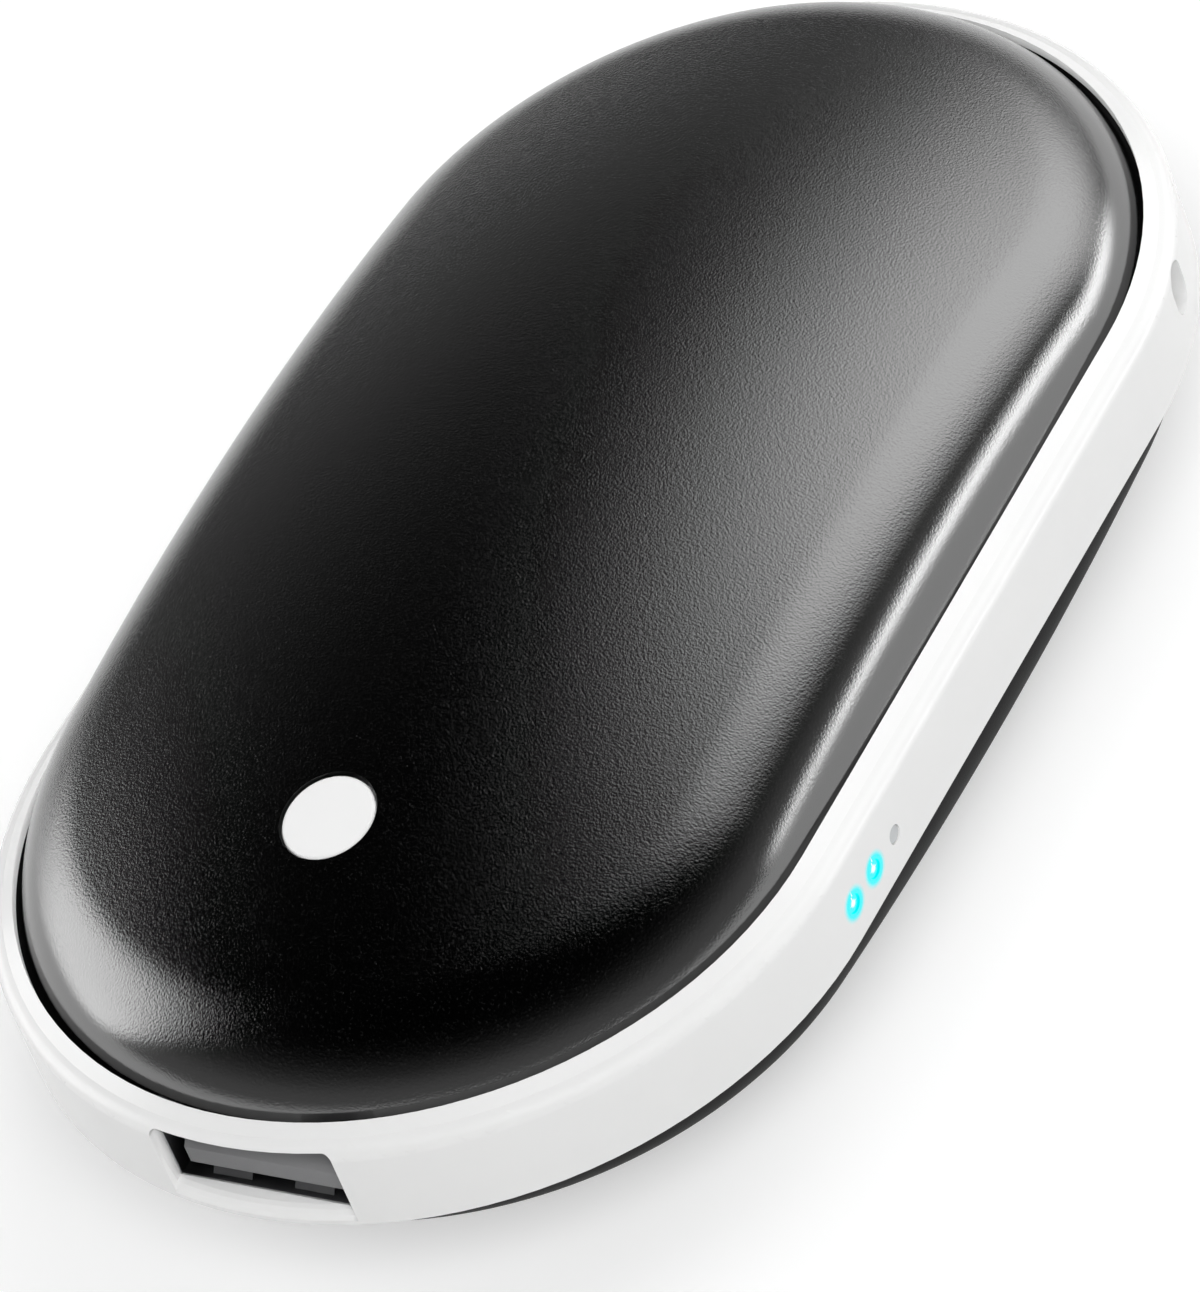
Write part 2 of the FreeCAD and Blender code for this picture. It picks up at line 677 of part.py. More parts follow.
posts = [rod(f"boss_{count}", "boss_radius", (x, y, LEDGE_LOW), f"{LEDGE_TOP} - {LEDGE_LOW}")
         for count, (x, y, head) in enumerate(BOSSES)]
pilots = [rod(f"pilot_{count}", "screw_radius + screw_fit",
              (x, y, f"{head} - screw_length - screw_clearance"), "screw_length + screw_clearance")
          for count, (x, y, head) in enumerate(BOSSES)]
light_holes = [rod(f"light_hole_{count}", "light_radius", (f"{LEDGE_R} - overrun", y, LIGHT_Z),
                   "ledge_width + 2 * overrun", axis="x") for count, y in enumerate(LIGHTS)]
usb_room = around("usb_offset", "(usb_width + 2 * usb_fit)")
usb_hole = box("usb_hole", usb_room, (f"({USB_FACE} + usb_roof_setback)", f"({USB_REAR} + usb_fit)"),
               around(MID, "(usb_height + 2 * usb_fit)"))
usb_front = box("usb_front", usb_room, (USB_FACE, f"({USB_FACE} + usb_roof_setback + usb_fit)"),
                (f"({USB_LOW} - usb_fit)", USB_ROOF))
inlet_hole = box("inlet_hole", (f"(inlet_recess - {BAND_R} - overrun)", f"(-{LEDGE_R} + overrun)"),
                 around(INLET_Y, "(inlet_width + 2 * inlet_fit)"),
                 (f"({MID} - inlet_height / 2 - inlet_fit)", f"({MID} + inlet_height / 2 + inlet_fit)"))
inlet_well = box("inlet_well", (f"(-{RIM_R} + shell_wall)", f"(-{LEDGE_R} + overrun)"),
                 around(INLET_Y, "(inlet_width + 2 * inlet_fit)"), (MID, f"({LEDGE_TOP} + seat_gap)"))
middle_frame = cut("middle_frame", fuse("band_with_bosses", band_ring(), *posts), *pilots, *light_holes,
                   usb_hole, usb_front, usb_mouth(), usb_foot(), inlet_hole, inlet_well, inlet_mouth(),
                   *lanyard_slots())
node("middle_frame", middle_frame)


# Button: a cap flush with the dome, on a flange that stops it from inside and presses the switch
cap_stem = rod("cap_stem", "button_radius", ("0", BUTTON_Y, PLUNGER_TOP), "dome_rise + overrun")
cap_flange = rod("cap_flange", FLANGE_R, ("0", BUTTON_Y, PLUNGER_TOP), "dome_rise + overrun")
cap_blank = fuse("cap_blank", common("cap_face", cap_stem, dome("cap_top", UPPER, "button_sink", SKIRT)),
                 common("cap_stop", cap_flange,
                        dome("cap_stop_top", UPPER, "(shell_wall + button_headroom)", SKIRT)))
doc.recompute()
cap_brow = value(f"{RIM} + {crown('0', f'{BUTTON_Y} - button_radius', '(shell_wall / 2)')}")
cap_round = value("button_round")
button_cap = doc.addObject("Part::Fillet", "button_cap")
button_cap.Base = cap_blank
button_cap.Edges = [(count, cap_round, cap_round) for count, edge in enumerate(cap_blank.Shape.Edges, start=1)
                    if edge.BoundBox.ZMin > cap_brow]
node("button_cap", button_cap)

# Tact switch: body on the board, round plunger under the button, four legs
switch_block = plate("switch_block", around("0", "switch_width"), around(BUTTON_Y, "switch_width"),
                     (BOARD_TOP, SWITCH_TOP), "switch_corner")
plunger_well = rod("plunger_well", "plunger_radius + plunger_fit",
                   ("0", BUTTON_Y, f"{SWITCH_TOP} - plunger_engagement - plunger_room"),
                   "plunger_engagement + plunger_room + overrun")
node("switch_body", cut("switch_body", switch_block, plunger_well))
switch_plunger = rod("switch_plunger", "plunger_radius",
                     ("0", BUTTON_Y, f"{SWITCH_TOP} - plunger_engagement"),
                     "plunger_stand + plunger_engagement")
node("switch_plunger", switch_plunger)
legs = []
for side in ("-1", "1"):
    for row in ("-1", "1"):
        inner = f"({side} * switch_width / 2)"
        outer = f"({side} * (switch_width / 2 + leg_reach))"
        ends = (outer, inner) if side == "-1" else (inner, outer)
        leg_y = around(f"({BUTTON_Y} + {row} * switch_width / 3)", "leg_width")
        legs.append(box(f"leg_{len(legs)}", ends, leg_y, (BOARD_TOP, f"({BOARD_TOP} + leg_thickness)")))
node("switch_legs", group("switch_legs", *legs))

# Main board: fills the near end, seats on the ledge and has an arm along each side
board_blank = stadium_prism("board_blank", BOARD_R, LEDGE_TOP, BOARD_TOP)
board_field = box("board_field", WIDE, ("(-body_length)", BOARD_REAR), (LEDGE_TOP, BOARD_TOP))
right_arm = box("right_arm", (ARM_X, "body_width"), (BOARD_REAR, ARM_FAR), (LEDGE_TOP, BOARD_TOP))
left_arm = box("left_arm", ("(-body_width)", f"(-{ARM_X})"), (BOARD_REAR, ARM_FAR), (LEDGE_TOP, BOARD_TOP))
board_outline = common("board_outline", board_blank, fuse("board_areas", board_field, right_arm, left_arm))
board_holes = [rod(f"board_hole_{count}", "screw_radius + screw_clearance", (x, y, f"{LEDGE_TOP} - overrun"),
                   "board_thickness + 2 * overrun")
               for count, (x, y, head) in enumerate(BOSSES) if head == BOARD_TOP]
node("main_board", cut("main_board", board_outline, *board_holes))


# USB-A socket, hung under the board: folded metal shell with two spring fingers, tongue and contacts
def usb_tube():
    """The shell's folded tube, open at both ends, with its roof set back under the band's lip."""
    outer = box("usb_outside", around("usb_offset", "usb_width"), (USB_FACE, USB_REAR), (USB_LOW, USB_TOP))
    inner = box("usb_inside", USB_SIDES, (f"({USB_FACE} - overrun)", f"({USB_REAR} + overrun)"),
                (USB_FLOOR, USB_ROOF))
    notch = box("usb_roof_notch", around("usb_offset", "(usb_width + 2 * overrun)"),
                (f"({USB_FACE} - overrun)", f"({USB_FACE} + usb_roof_setback + usb_fit)"),
                (f"({USB_ROOF} - usb_fit)", f"({USB_TOP} + overrun)"))
    return cut("usb_tube", outer, inner, notch)


def usb_finger(name, side):
    """A spring finger that stands up from the tube's floor behind a short nose."""
    body = new_body(name)
    profile = new_sketch(body, name + "_profile", "YZ_Plane", z=f"usb_offset + {side} * usb_finger_place")
    start = f"({USB_FACE} + usb_tongue_setback)"
    crest = f"({start} + usb_finger_nose)"
    end = f"({start} + usb_finger_length)"
    draw_polygon(profile, [(start, USB_FLOOR), (end, USB_FLOOR), (crest, f"{USB_FLOOR} + usb_finger_rise")])
    pad(body, profile, "usb_finger_width", both_ways=True)
    return body


usb_fingers = [usb_finger(f"usb_finger_{count}", side) for count, side in enumerate(("-1", "1"))]
node("usb_socket_shell", fuse("usb_socket_shell", usb_tube(), *usb_fingers))

tongue_low = f"({USB_FLOOR} + usb_tongue_gap)"
tongue_top = f"({tongue_low} + usb_tongue_thickness)"
usb_blade = box("usb_blade", around("usb_offset", f"({USB_INSIDE} - 2 * usb_tongue_side)"),
                (f"({USB_FACE} + usb_tongue_setback)", USB_REAR), (tongue_low, tongue_top))
usb_block = box("usb_block", around("usb_offset", f"({USB_INSIDE} - 2 * usb_fit)"),
                (f"({USB_REAR} - usb_block_depth)", USB_REAR),
                (f"({USB_FLOOR} + usb_fit)", f"({USB_ROOF} - usb_fit)"))
contacts = [box(f"usb_contact_{count}",
                around(f"(usb_offset + {step} * usb_contact_pitch)", "usb_contact_width"),
                (f"({USB_REAR} - usb_block_depth - usb_contact_length)", f"({USB_REAR} - usb_block_depth)"),
                (tongue_top, f"({tongue_top} + usb_contact_thickness)"))
            for count, step in enumerate(("-1.5", "-0.5", "0.5", "1.5"))]
node("usb_socket_tongue", fuse("usb_socket_tongue", usb_blade, usb_block))
node("usb_socket_contacts", group("usb_socket_contacts", *contacts))


# Charging inlet: a small trapezoid tube on the -X side, raised on its block under the left arm
def inlet_prism(name, margin, start, end):
    """A prism with the inlet's skewed section, along X."""
    body = new_body(name)
    section = new_sketch(body, name + "_section", "YZ_Plane", z=start)
    wide = f"(inlet_width / 2 - {margin})"
    narrow = f"(inlet_width / 2 - inlet_skew - {margin})"
    low = f"({MID} - inlet_height / 2 + {margin})"
    high = f"({MID} + inlet_height / 2 - {margin})"
    waist = f"({MID} - inlet_height / 2 + inlet_skew)"
    draw_polygon(section, [
        (f"{INLET_Y} - {wide}", high),
        (f"{INLET_Y} - {wide}", waist),
        (f"{INLET_Y} - {narrow}", low),
        (f"{INLET_Y} + {narrow}", low),
        (f"{INLET_Y} + {wide}", waist),
        (f"{INLET_Y} + {wide}", high),
    ])
    pad(body, section, f"{end} - {start}")
    return body


INLET_FACE = f"(inlet_recess - {BAND_R})"
INLET_REAR = f"({INLET_FACE} + inlet_depth)"
inlet_bore = inlet_prism("inlet_inside", "inlet_wall", f"({INLET_FACE} - overrun)",
                         f"({INLET_REAR} + overrun)")
inlet_tube = cut("inlet_tube", inlet_prism("inlet_outside", "0", INLET_FACE, INLET_REAR), inlet_bore)
node("charging_inlet_shell", inlet_tube)
inlet_blade = box("inlet_blade", (f"({INLET_FACE} + inlet_wall)", INLET_REAR),
                  around(INLET_Y, "inlet_tongue_width"), around(MID, "inlet_tongue_thickness"))
inlet_plug = inlet_prism("inlet_plug", "(inlet_wall + seat_gap)", f"({INLET_REAR} - inlet_block_depth)",
                         INLET_REAR)
node("charging_inlet_tongue", fuse("charging_inlet_tongue", inlet_blade, inlet_plug))
inlet_riser = box("inlet_riser", (f"(-{LEDGE_R} + inlet_fit)", INLET_REAR),
                  around(INLET_Y, "(inlet_width - 2 * inlet_skew)"),
                  (f"({MID} + inlet_height / 2)", LEDGE_TOP))
node("charging_inlet_riser", inlet_riser)

# Charge lights: three lamps under the right arm and the clear guide that takes their light to the band
guide_x = (f"({LEDGE_R} - guide_gap - guide_thickness)", f"({LEDGE_R} - guide_gap)")
led_x = f"({LEDGE_R} - guide_gap - guide_thickness / 2)"
leds = [box(f"led_{count}", around(led_x, "led_width"), around(y, "led_length"),
            (f"({LEDGE_TOP} - led_height)", LEDGE_TOP)) for count, y in enumerate(LIGHTS)]
node("charge_lamps", group("charge_lamps", *leds))
guide_bar = box("guide_bar", guide_x, around(LIGHT_Y, "(2 * light_pitch + 2 * guide_overhang)"),
                (f"({LIGHT_Z} - guide_thickness / 2)", f"({LEDGE_TOP} - led_height - seat_gap)"))
prongs = [rod(f"prong_{count}", "light_radius - light_fit", (led_x, y, LIGHT_Z),
              "ledge_width + guide_gap + guide_thickness / 2 - light_inset", axis="x")
          for count, y in enumerate(LIGHTS)]
node("light_guide", fuse("light_guide", guide_bar, *prongs))

# Battery tray: an open moulded box whose ears are screwed to the frame's bosses
tray_y = (TRAY_NEAR, TRAY_FAR)
tray_z = (TRAY_LOW, EAR_TOP)
tray_outside = plate("tray_outside", (f"(-{TRAY_X})", TRAY_X), tray_y, tray_z, "tray_corner")
inner_x = f"({TRAY_X} - tray_wall)"
tray_inside = plate("tray_inside", (f"(-{inner_x})", inner_x),
                    (f"({TRAY_NEAR} + tray_wall)", f"({TRAY_FAR} - tray_wall)"),
                    (CELL_LOW, f"({tray_z[1]} + overrun)"), "tray_corner - tray_wall")
ears = []
for count, (x, y, head) in enumerate(BOSSES):
    if head == BOARD_TOP:
        continue
    wall = f"(-{inner_x})" if x.startswith("-") else inner_x
    ends = (x, wall) if x.startswith("-") else (wall, x)
    ears.append(box(f"ear_{count}", ends, around(y, "(2 * boss_radius)"), (LEDGE_TOP, head)))
    ears.append(rod(f"ear_end_{count}", "boss_radius", (x, y, LEDGE_TOP), "ear_thickness"))
ear_holes = [rod(f"ear_hole_{count}", "screw_radius + screw_clearance", (x, y, f"{LEDGE_TOP} - overrun"),
                 "ear_thickness + 2 * overrun")
             for count, (x, y, head) in enumerate(BOSSES) if head != BOARD_TOP]
node("battery_tray", cut("battery_tray", fuse("tray_blank", tray_outside, *ears), tray_inside, *ear_holes))


# Battery: two pouch cells with a strip of tape between them, welded tabs and the protection board
def pouch(name, low):
    """A soft-edged cell that fills the tray's width."""
    high = f"({low} + {CELL_THICK})"
    body = plate(name, (f"(-{CELL_X})", CELL_X), (CELL_NEAR, CELL_FAR), (low, high), "cell_corner")
    doc.recompute()
    slab = body.Tip
    rims = [f"Edge{count}" for count, edge in enumerate(slab.Shape.Edges, start=1)
            if edge.BoundBox.ZLength < edge.BoundBox.DiagonalLength / 1000]
    round_edges(body, slab, rims, "cell_edge")
    return body


upper_low = f"({CELL_LOW} + {CELL_THICK} + tape_thickness)"
node("battery_cell_lower", pouch("battery_cell_lower", CELL_LOW))
node("battery_cell_upper", pouch("battery_cell_upper", upper_low))
tape_x = f"({CELL_X} - tape_margin)"
tape = plate("battery_tape", (f"(-{tape_x})", tape_x),
             (f"({CELL_NEAR} + tape_margin)", f"({CELL_FAR} - tape_margin)"),
             (f"({CELL_LOW} + {CELL_THICK})", upper_low), "cell_corner")
node("battery_tape", tape)
guard = box("protection_board", around("0", f"(2 * ({CELL_X} - guard_side))"),
            (GUARD_Y, f"({GUARD_Y} + guard_thickness)"),
            (f"({CELL_LOW} + guard_margin)", f"({CELL_TOP} - guard_margin)"))
node("protection_board", guard)
tabs = []
for side in ("-1", "1"):
    for height in (f"({CELL_LOW} + {CELL_THICK} / 2)", f"({upper_low} + {CELL_THICK} / 2)"):
        tabs.append(box(f"tab_{len(tabs)}", around(f"({side} * tab_place)", "tab_width"),
                        (f"({GUARD_Y} + guard_thickness)", CELL_NEAR), around(height, "tab_thickness")))
node("battery_tabs", group("battery_tabs", *tabs))


# Heater films under the domes, the foam pads that press them there, and their sensors
def heater_film(name, form):
    """A thin sheet that lies under a dome, cut to a rounded panel."""
    outside = dome(name + "_outside", form, FILM_INSET, SKIRT)
    inside = dome(name + "_inside", form, f"({FILM_INSET} + film_thickness)", OPEN_SKIRT)
    z = ("(-overrun)", FOOT) if form is LOWER else (RIM, f"({RIM} + dome_rise)")
    x = f"({CELL_X} - film_side)"
    panel = plate(name + "_panel", (f"(-{x})", x), (FILM_NEAR, FILM_FAR), z, "film_corner")
    return common(name, cut(name + "_sheet", outside, inside), panel)


def foam_pad(name, form):
    """A pad that is flat on the battery's side and crowned on the film's."""
    z = ("(-overrun)", TRAY_LOW) if form is LOWER else (CELL_TOP, f"({RIM} + dome_rise)")
    x = f"({CELL_X} - pad_margin)"
    panel = plate(name + "_panel", (f"(-{x})", x),
                  (f"({CELL_NEAR} + pad_margin)", f"({CELL_FAR} - pad_margin)"), z, "pad_corner")
    return common(name, dome(name + "_crown", form, PAD_INSET, SKIRT), panel)


node("heater_film_upper", heater_film("heater_film_upper", UPPER))
node("heater_film_lower", heater_film("heater_film_lower", LOWER))
node("foam_pad_upper", foam_pad("foam_pad_upper", UPPER))
node("foam_pad_lower", foam_pad("foam_pad_lower", LOWER))
sensor_y = f"({FILM_NEAR} + sensor_width)"
film_face = f"({FILM_INSET} + film_thickness + sensor_gap)"
sensor_edge = f"({sensor_y} - sensor_width / 2)"
under_film = f"({RIM} + {crown('sensor_length / 2', sensor_edge, film_face)})"
over_film = f"({FOOT} - {crown('sensor_length / 2', sensor_edge, film_face, LOWER)})"
sensors = [box("sensor_upper", around("0", "sensor_length"), around(sensor_y, "sensor_width"),
               (f"({under_film} - sensor_height)", under_film)),
           box("sensor_lower", around("0", "sensor_length"), around(sensor_y, "sensor_width"),
               (over_film, f"({over_film} + sensor_height)"))]
node("temperature_sensors", group("temperature_sensors", *sensors))


# Leads: soft wires with bends as large as their runs allow
BEND_SHARE = 0.45


def lead(name, diameter, points):
    """A wire along straight runs joined by tangent arcs."""
    places = [FreeCAD.Vector(value(x), value(y), value(z)) for x, y, z in points]
    edges = []
    start = places[0]
    for before, corner, after in zip(places, places[1:], places[2:]):
        back = before - corner
        ahead = after - corner
        half_turn = (math.pi - back.getAngle(ahead)) / 2
        trim = BEND_SHARE * min(back.Length, ahead.Length)
        radius = trim / math.tan(half_turn)
        back.normalize()
        ahead.normalize()
        enter = corner + back * trim
        leave = corner + ahead * trim
        inward = back + ahead
        inward.normalize()
        middle = corner + inward * (radius / math.cos(half_turn) - radius)
        edges.append(Part.LineSegment(start, enter).toShape())
        edges.append(Part.Arc(enter, middle, leave).toShape())
        start = leave
    edges.append(Part.LineSegment(start, places[-1]).toShape())
    path = Part.Wire(edges)
    ring = Part.Wire([Part.Circle(places[0], places[1] - places[0], value(diameter) / 2).toShape()])
    wire = doc.addObject("Part::Feature", name)
    wire.Shape = path.makePipeShell([ring], True, False)
    section = math.pi * (value(diameter) / 2) ** 2
    if abs(wire.Shape.Volume / (section * path.Length) - 1) > 0.01:
        raise RuntimeError(f"{name} is not a whole tube")
    return wire


GUARD_TOP = f"({CELL_TOP} - guard_margin)"
guard_mid = f"({GUARD_Y} + guard_thickness / 2)"
lead_end_y = f"({guard_mid} - battery_lead_run)"
for label, side in (("battery_lead_positive", "1"), ("battery_lead_negative", "-1")):
    lead_x = f"({side} * battery_lead_place)"
    crest = f"({GUARD_TOP} + battery_lead_rise)"
    node(label, lead(label, "battery_lead", [
        (lead_x, guard_mid, GUARD_TOP),
        (lead_x, guard_mid, crest),
        (lead_x, lead_end_y, crest),
        (lead_x, lead_end_y, BOARD_TOP),
    ]))


def heater_leads(name, form):
    """Two wires from a film's near edge to the board."""
    wires = []
    start_y = f"({FILM_NEAR} + heater_lead)"
    turn_y = f"({BOARD_REAR} - heater_lead)"
    for step in ("-0.5", "0.5"):
        x = f"(heater_lead_place + {step} * heater_lead_spread)"
        depth = f"({FILM_INSET} + film_thickness + heater_lead_gap + heater_lead / 2)"
        under = crown(x, FILM_NEAR, depth, form)
        if form is LOWER:
            start_z = f"({FOOT} - {under})"
            turn_z = f"({start_z} + heater_lead)"
            end_z = LEDGE_TOP
        else:
            start_z = f"({RIM} + {under})"
            turn_z = f"({start_z} - heater_lead_fall)"
            end_z = BOARD_TOP
        points = [(x, start_y, start_z), (x, turn_y, turn_z), (x, turn_y, end_z)]
        wires.append(lead(f"{name}_{len(wires)}", "heater_lead", points))
    return group(name, *wires)


node("heater_leads_upper", heater_leads("heater_leads_upper", UPPER))
node("heater_leads_lower", heater_leads("heater_leads_lower", LOWER))


# Parts on the board
def board_part(name, x, y, length, width, height):
    return box(name, around(x, length), around(y, width), (BOARD_TOP, f"({BOARD_TOP} + {height})"))


parts_y = "(parts_setback - body_length / 2)"
chip = board_part("control_chip", "(-parts_spread)", parts_y, "chip_width", "chip_width", "chip_height")
node("control_chip", chip)
coil = plate("power_coil", around("parts_spread", "coil_width"), around(parts_y, "coil_width"),
             (BOARD_TOP, f"({BOARD_TOP} + coil_height)"), "coil_corner")
node("power_coil", coil)
capacitors = [board_part(f"capacitor_{count}", f"({step} * capacitor_pitch)",
                         f"({BUTTON_Y} - switch_width / 2 - 2 * capacitor_length)", "capacitor_width",
                         "capacitor_length", "capacitor_height")
              for count, step in enumerate(("-1", "0", "1"))]
node("filter_capacitors", group("filter_capacitors", *capacitors))
transistors = [board_part(f"transistor_{count}", f"({side} * (parts_spread + coil_width))", BUTTON_Y,
                          "transistor_length", "transistor_width", "transistor_height")
               for count, side in enumerate(("-1", "1"))]
node("heater_transistors", group("heater_transistors", *transistors))


# Screws: slotted pan heads, shanks in the bosses
def screw(name, x, y, head):
    shank = rod(name + "_shank", "screw_radius", (x, y, f"{head} - screw_length"), "screw_length")
    top = rod(name + "_head", "screw_head_radius", (x, y, head), "screw_head_height")
    crest = f"({head} + screw_head_height)"
    slot = box(name + "_slot", around(f"({x})", "(2 * screw_head_radius + overrun)"),
               around(f"({y})", "screw_slot_width"),
               (f"({crest} - screw_slot_depth)", f"({crest} + overrun)"))
    return cut(name, fuse(name + "_blank", shank, top), slot)


screws = {count: screw(f"screw_{count}", x, y, head) for count, (x, y, head) in enumerate(BOSSES)}
on_board = [count for count, (x, y, head) in enumerate(BOSSES) if head == BOARD_TOP]
node("tray_screws", group("tray_screws", *[item for count, item in screws.items() if count not in on_board]))
node("board_screws", group("board_screws", *[screws[count] for count in on_board]))

doc.recompute()
for item in doc.Objects:
    if "Invalid" in item.State or "Error" in item.State:
        raise RuntimeError(f"{item.Name} failed: {item.State}")
for item in NODES:
    if item.Shape.isNull() or not item.Shape.isValid() or not item.Shape.Solids:
        raise RuntimeError(f"{item.Label} has no sound solid")

os.makedirs("parts", exist_ok=True)
for item in NODES:
    item.Shape.exportStep(f"parts/{item.Label}.step")
print(len(NODES), "nodes")
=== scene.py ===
import math

import bmesh
import bpy
from mathutils import Matrix, Vector


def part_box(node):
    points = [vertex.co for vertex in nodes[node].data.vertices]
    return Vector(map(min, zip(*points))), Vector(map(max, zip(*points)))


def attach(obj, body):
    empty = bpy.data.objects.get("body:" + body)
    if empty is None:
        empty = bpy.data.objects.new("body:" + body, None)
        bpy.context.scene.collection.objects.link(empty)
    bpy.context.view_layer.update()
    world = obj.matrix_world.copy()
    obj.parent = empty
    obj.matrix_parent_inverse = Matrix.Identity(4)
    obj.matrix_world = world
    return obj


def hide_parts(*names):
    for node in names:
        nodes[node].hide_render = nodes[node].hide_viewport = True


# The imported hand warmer: a lower dome, a white band with the works in it, an upper dome and a button.
# Its solids are the frame that every piece here is built on, in metres, with the rest flat at z = 0.
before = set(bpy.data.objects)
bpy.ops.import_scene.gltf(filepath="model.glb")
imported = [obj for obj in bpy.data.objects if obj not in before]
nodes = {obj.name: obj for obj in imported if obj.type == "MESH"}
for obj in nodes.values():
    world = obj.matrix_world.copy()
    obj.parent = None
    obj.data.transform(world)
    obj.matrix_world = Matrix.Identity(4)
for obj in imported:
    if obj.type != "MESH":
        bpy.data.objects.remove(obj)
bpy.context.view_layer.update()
MM = 0.001


# Lower dome: sheet metal pressed from a flat blank, crowned both ways, with a rolled shoulder and a small
# flat to stand on. It has a dull black powder coat, and its skirt is held in the rabbet under the band.
band_low, band_high = (Vector(corner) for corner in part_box("middle_frame"))
FOOT = band_low.z
RIM = band_high.z
STRAIGHT = band_high.y - band_high.x
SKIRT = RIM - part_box("top_shell")[0][2]
DOME_RISE = 9.3 * MM
SHELL_WALL = 0.8 * MM
MERGE = 0.001 * MM
ROUND_STEPS = 160
SIDE_STEPS = 43
SHOULDER_RINGS = 18
RINGS = 44
HALF_RING = 0.5


def dome_form(solid, cross_drop, long_drop, shoulder):
    """A dome's outline, the radii of its crown across and along the body, and its shoulder's radius."""
    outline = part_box(solid)[1][0]
    reach = outline + STRAIGHT
    across = (outline ** 2 + cross_drop ** 2) / (2 * cross_drop)
    along = (reach ** 2 + long_drop ** 2) / (2 * long_drop)
    return outline, across, along, shoulder


def crown(form, x, y, depth=0.0):
    """Height over the rim, and the upward normal, of the crown that far under a dome's outer face."""
    _, across, along, _ = form
    bow = across - depth
    lift = math.sqrt(bow ** 2 - x ** 2)
    reach = along - across + lift
    height = math.sqrt(reach ** 2 - y ** 2)
    normal = Vector((x / bow, lift / bow * y / reach, lift / bow * height / reach))
    return DOME_RISE - along + height, normal


def spine_of(place):
    """The nearest point on the line between the middles of the outline's two round ends."""
    return Vector((0, min(max(place.y, -STRAIGHT), STRAIGHT), 0))


def pressed(place, form):
    """Where the press leaves a point of the flat blank. The blank's rim becomes the foot of the wall, the
    rings next to it roll over the shoulder, and the others lie on the crown."""
    radius, _, _, shoulder = form
    spine = spine_of(place)
    away = place - spine
    ring = RINGS * (1 - away.length / radius)
    outward = away.normalized()
    ball = spine + outward * (radius - shoulder)
    ball.z, normal = crown(form, ball.x, ball.y, shoulder)
    if ring < HALF_RING:
        return spine + outward * radius - Vector((0, 0, shoulder))
    if ring < SHOULDER_RINGS + 1 + HALF_RING:
        return ball + outward.slerp(normal, min((ring - 1) / SHOULDER_RINGS, 1)) * shoulder
    inner_share = (ring - SHOULDER_RINGS - 1) / (RINGS - SHOULDER_RINGS - 1)
    spot = (ball + normal * shoulder).lerp(spine, min(inner_share, 1))
    spot.z = crown(form, spot.x, spot.y)[0]
    return spot


def pick(parts, kind):
    """The vertices or the edges among an operator's results."""
    return [part for part in parts if isinstance(part, kind)]


def cut_below(shape, height):
    """Cuts off what lies under a height, and hands back the edges of the cut."""
    everything = shape.verts[:] + shape.edges[:] + shape.faces[:]
    cut = bmesh.ops.bisect_plane(shape, geom=everything, dist=MERGE, plane_co=(0, 0, height),
                                 plane_no=(0, 0, -1), clear_outer=True)
    return pick(cut["geom_cut"], bmesh.types.BMEdge)


def press_dome(form):
    """The outer face of a dome whose rim lies at z = 0, with its skirt below."""
    blank = bmesh.new()
    half_step = Matrix.Rotation(math.pi / ROUND_STEPS, 4, "Z")
    bmesh.ops.create_circle(blank, segments=ROUND_STEPS, radius=form[0], matrix=half_step)
    for end in (-1, 1):
        half = [vert for vert in blank.verts if vert.co.y * end > 0]
        bmesh.ops.translate(blank, verts=half, vec=(0, end * STRAIGHT, 0))
    sides = [edge for edge in blank.edges if edge.calc_length() > STRAIGHT]
    bmesh.ops.subdivide_edges(blank, edges=sides, cuts=SIDE_STEPS)
    rim = blank.edges[:]
    for left in range(RINGS, 0, -1):
        grown = bmesh.ops.extrude_edge_only(blank, edges=rim)["geom"]
        rim = pick(grown, bmesh.types.BMEdge)
        for vert in pick(grown, bmesh.types.BMVert):
            vert.co = vert.co.lerp(spine_of(vert.co), 1 / left)
    bmesh.ops.remove_doubles(blank, verts=blank.verts, dist=MERGE)
    for vert in blank.verts:
        vert.co = pressed(vert.co, form)
    cut_below(blank, -SKIRT)
    bmesh.ops.recalc_face_normals(blank, faces=blank.faces)
    return blank


def face_out(shape, inside):
    """Turns an open sheet so that its faces look away from a point."""
    middle = max(shape.faces, key=lambda face: face.calc_area())
    if middle.normal.dot(middle.calc_center_median() - inside) < 0:
        bmesh.ops.reverse_faces(shape, faces=shape.faces)


def put_in_scene(name, data):
    """Puts a mesh, a lamp or a camera into the scene, at the origin."""
    thing = bpy.data.objects.new(name, data)
    bpy.context.scene.collection.objects.link(thing)
    return thing


def make_piece(name, shape, crease=30):
    """Makes a smooth piece of a finished shape, with sharp edges where it turns more than the crease."""
    mesh = bpy.data.meshes.new(name)
    shape.to_mesh(mesh)
    shape.free()
    mesh.shade_smooth()
    mesh.set_sharp_from_angle(angle=math.radians(crease))
    return put_in_scene(name, mesh)


def dress(piece, material, body, slot, *replaced):
    """Gives a piece its finish and its body, and hides the solids that it stands for."""
    piece.data.materials.append(material)
    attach(piece, body)
    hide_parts(*replaced)


def add(tree, kind, sockets=None, **settings):
    """Adds a shader node, with its settings, its values and the sockets that feed it."""
    made = tree.nodes.new(kind)
    for name, setting in settings.items():
        setattr(made, name, setting)
    for name, value in (sockets or {}).items():
        if isinstance(value, bpy.types.NodeSocket):
            tree.links.new(value, made.inputs[name])
        else:
            made.inputs[name].default_value = value
    return made


def calculate(tree, operation, first, second=0.0):
    """A number that is worked out from one or two others."""
    return add(tree, "ShaderNodeMath", {0: first, 1: second}, operation=operation).outputs[0]


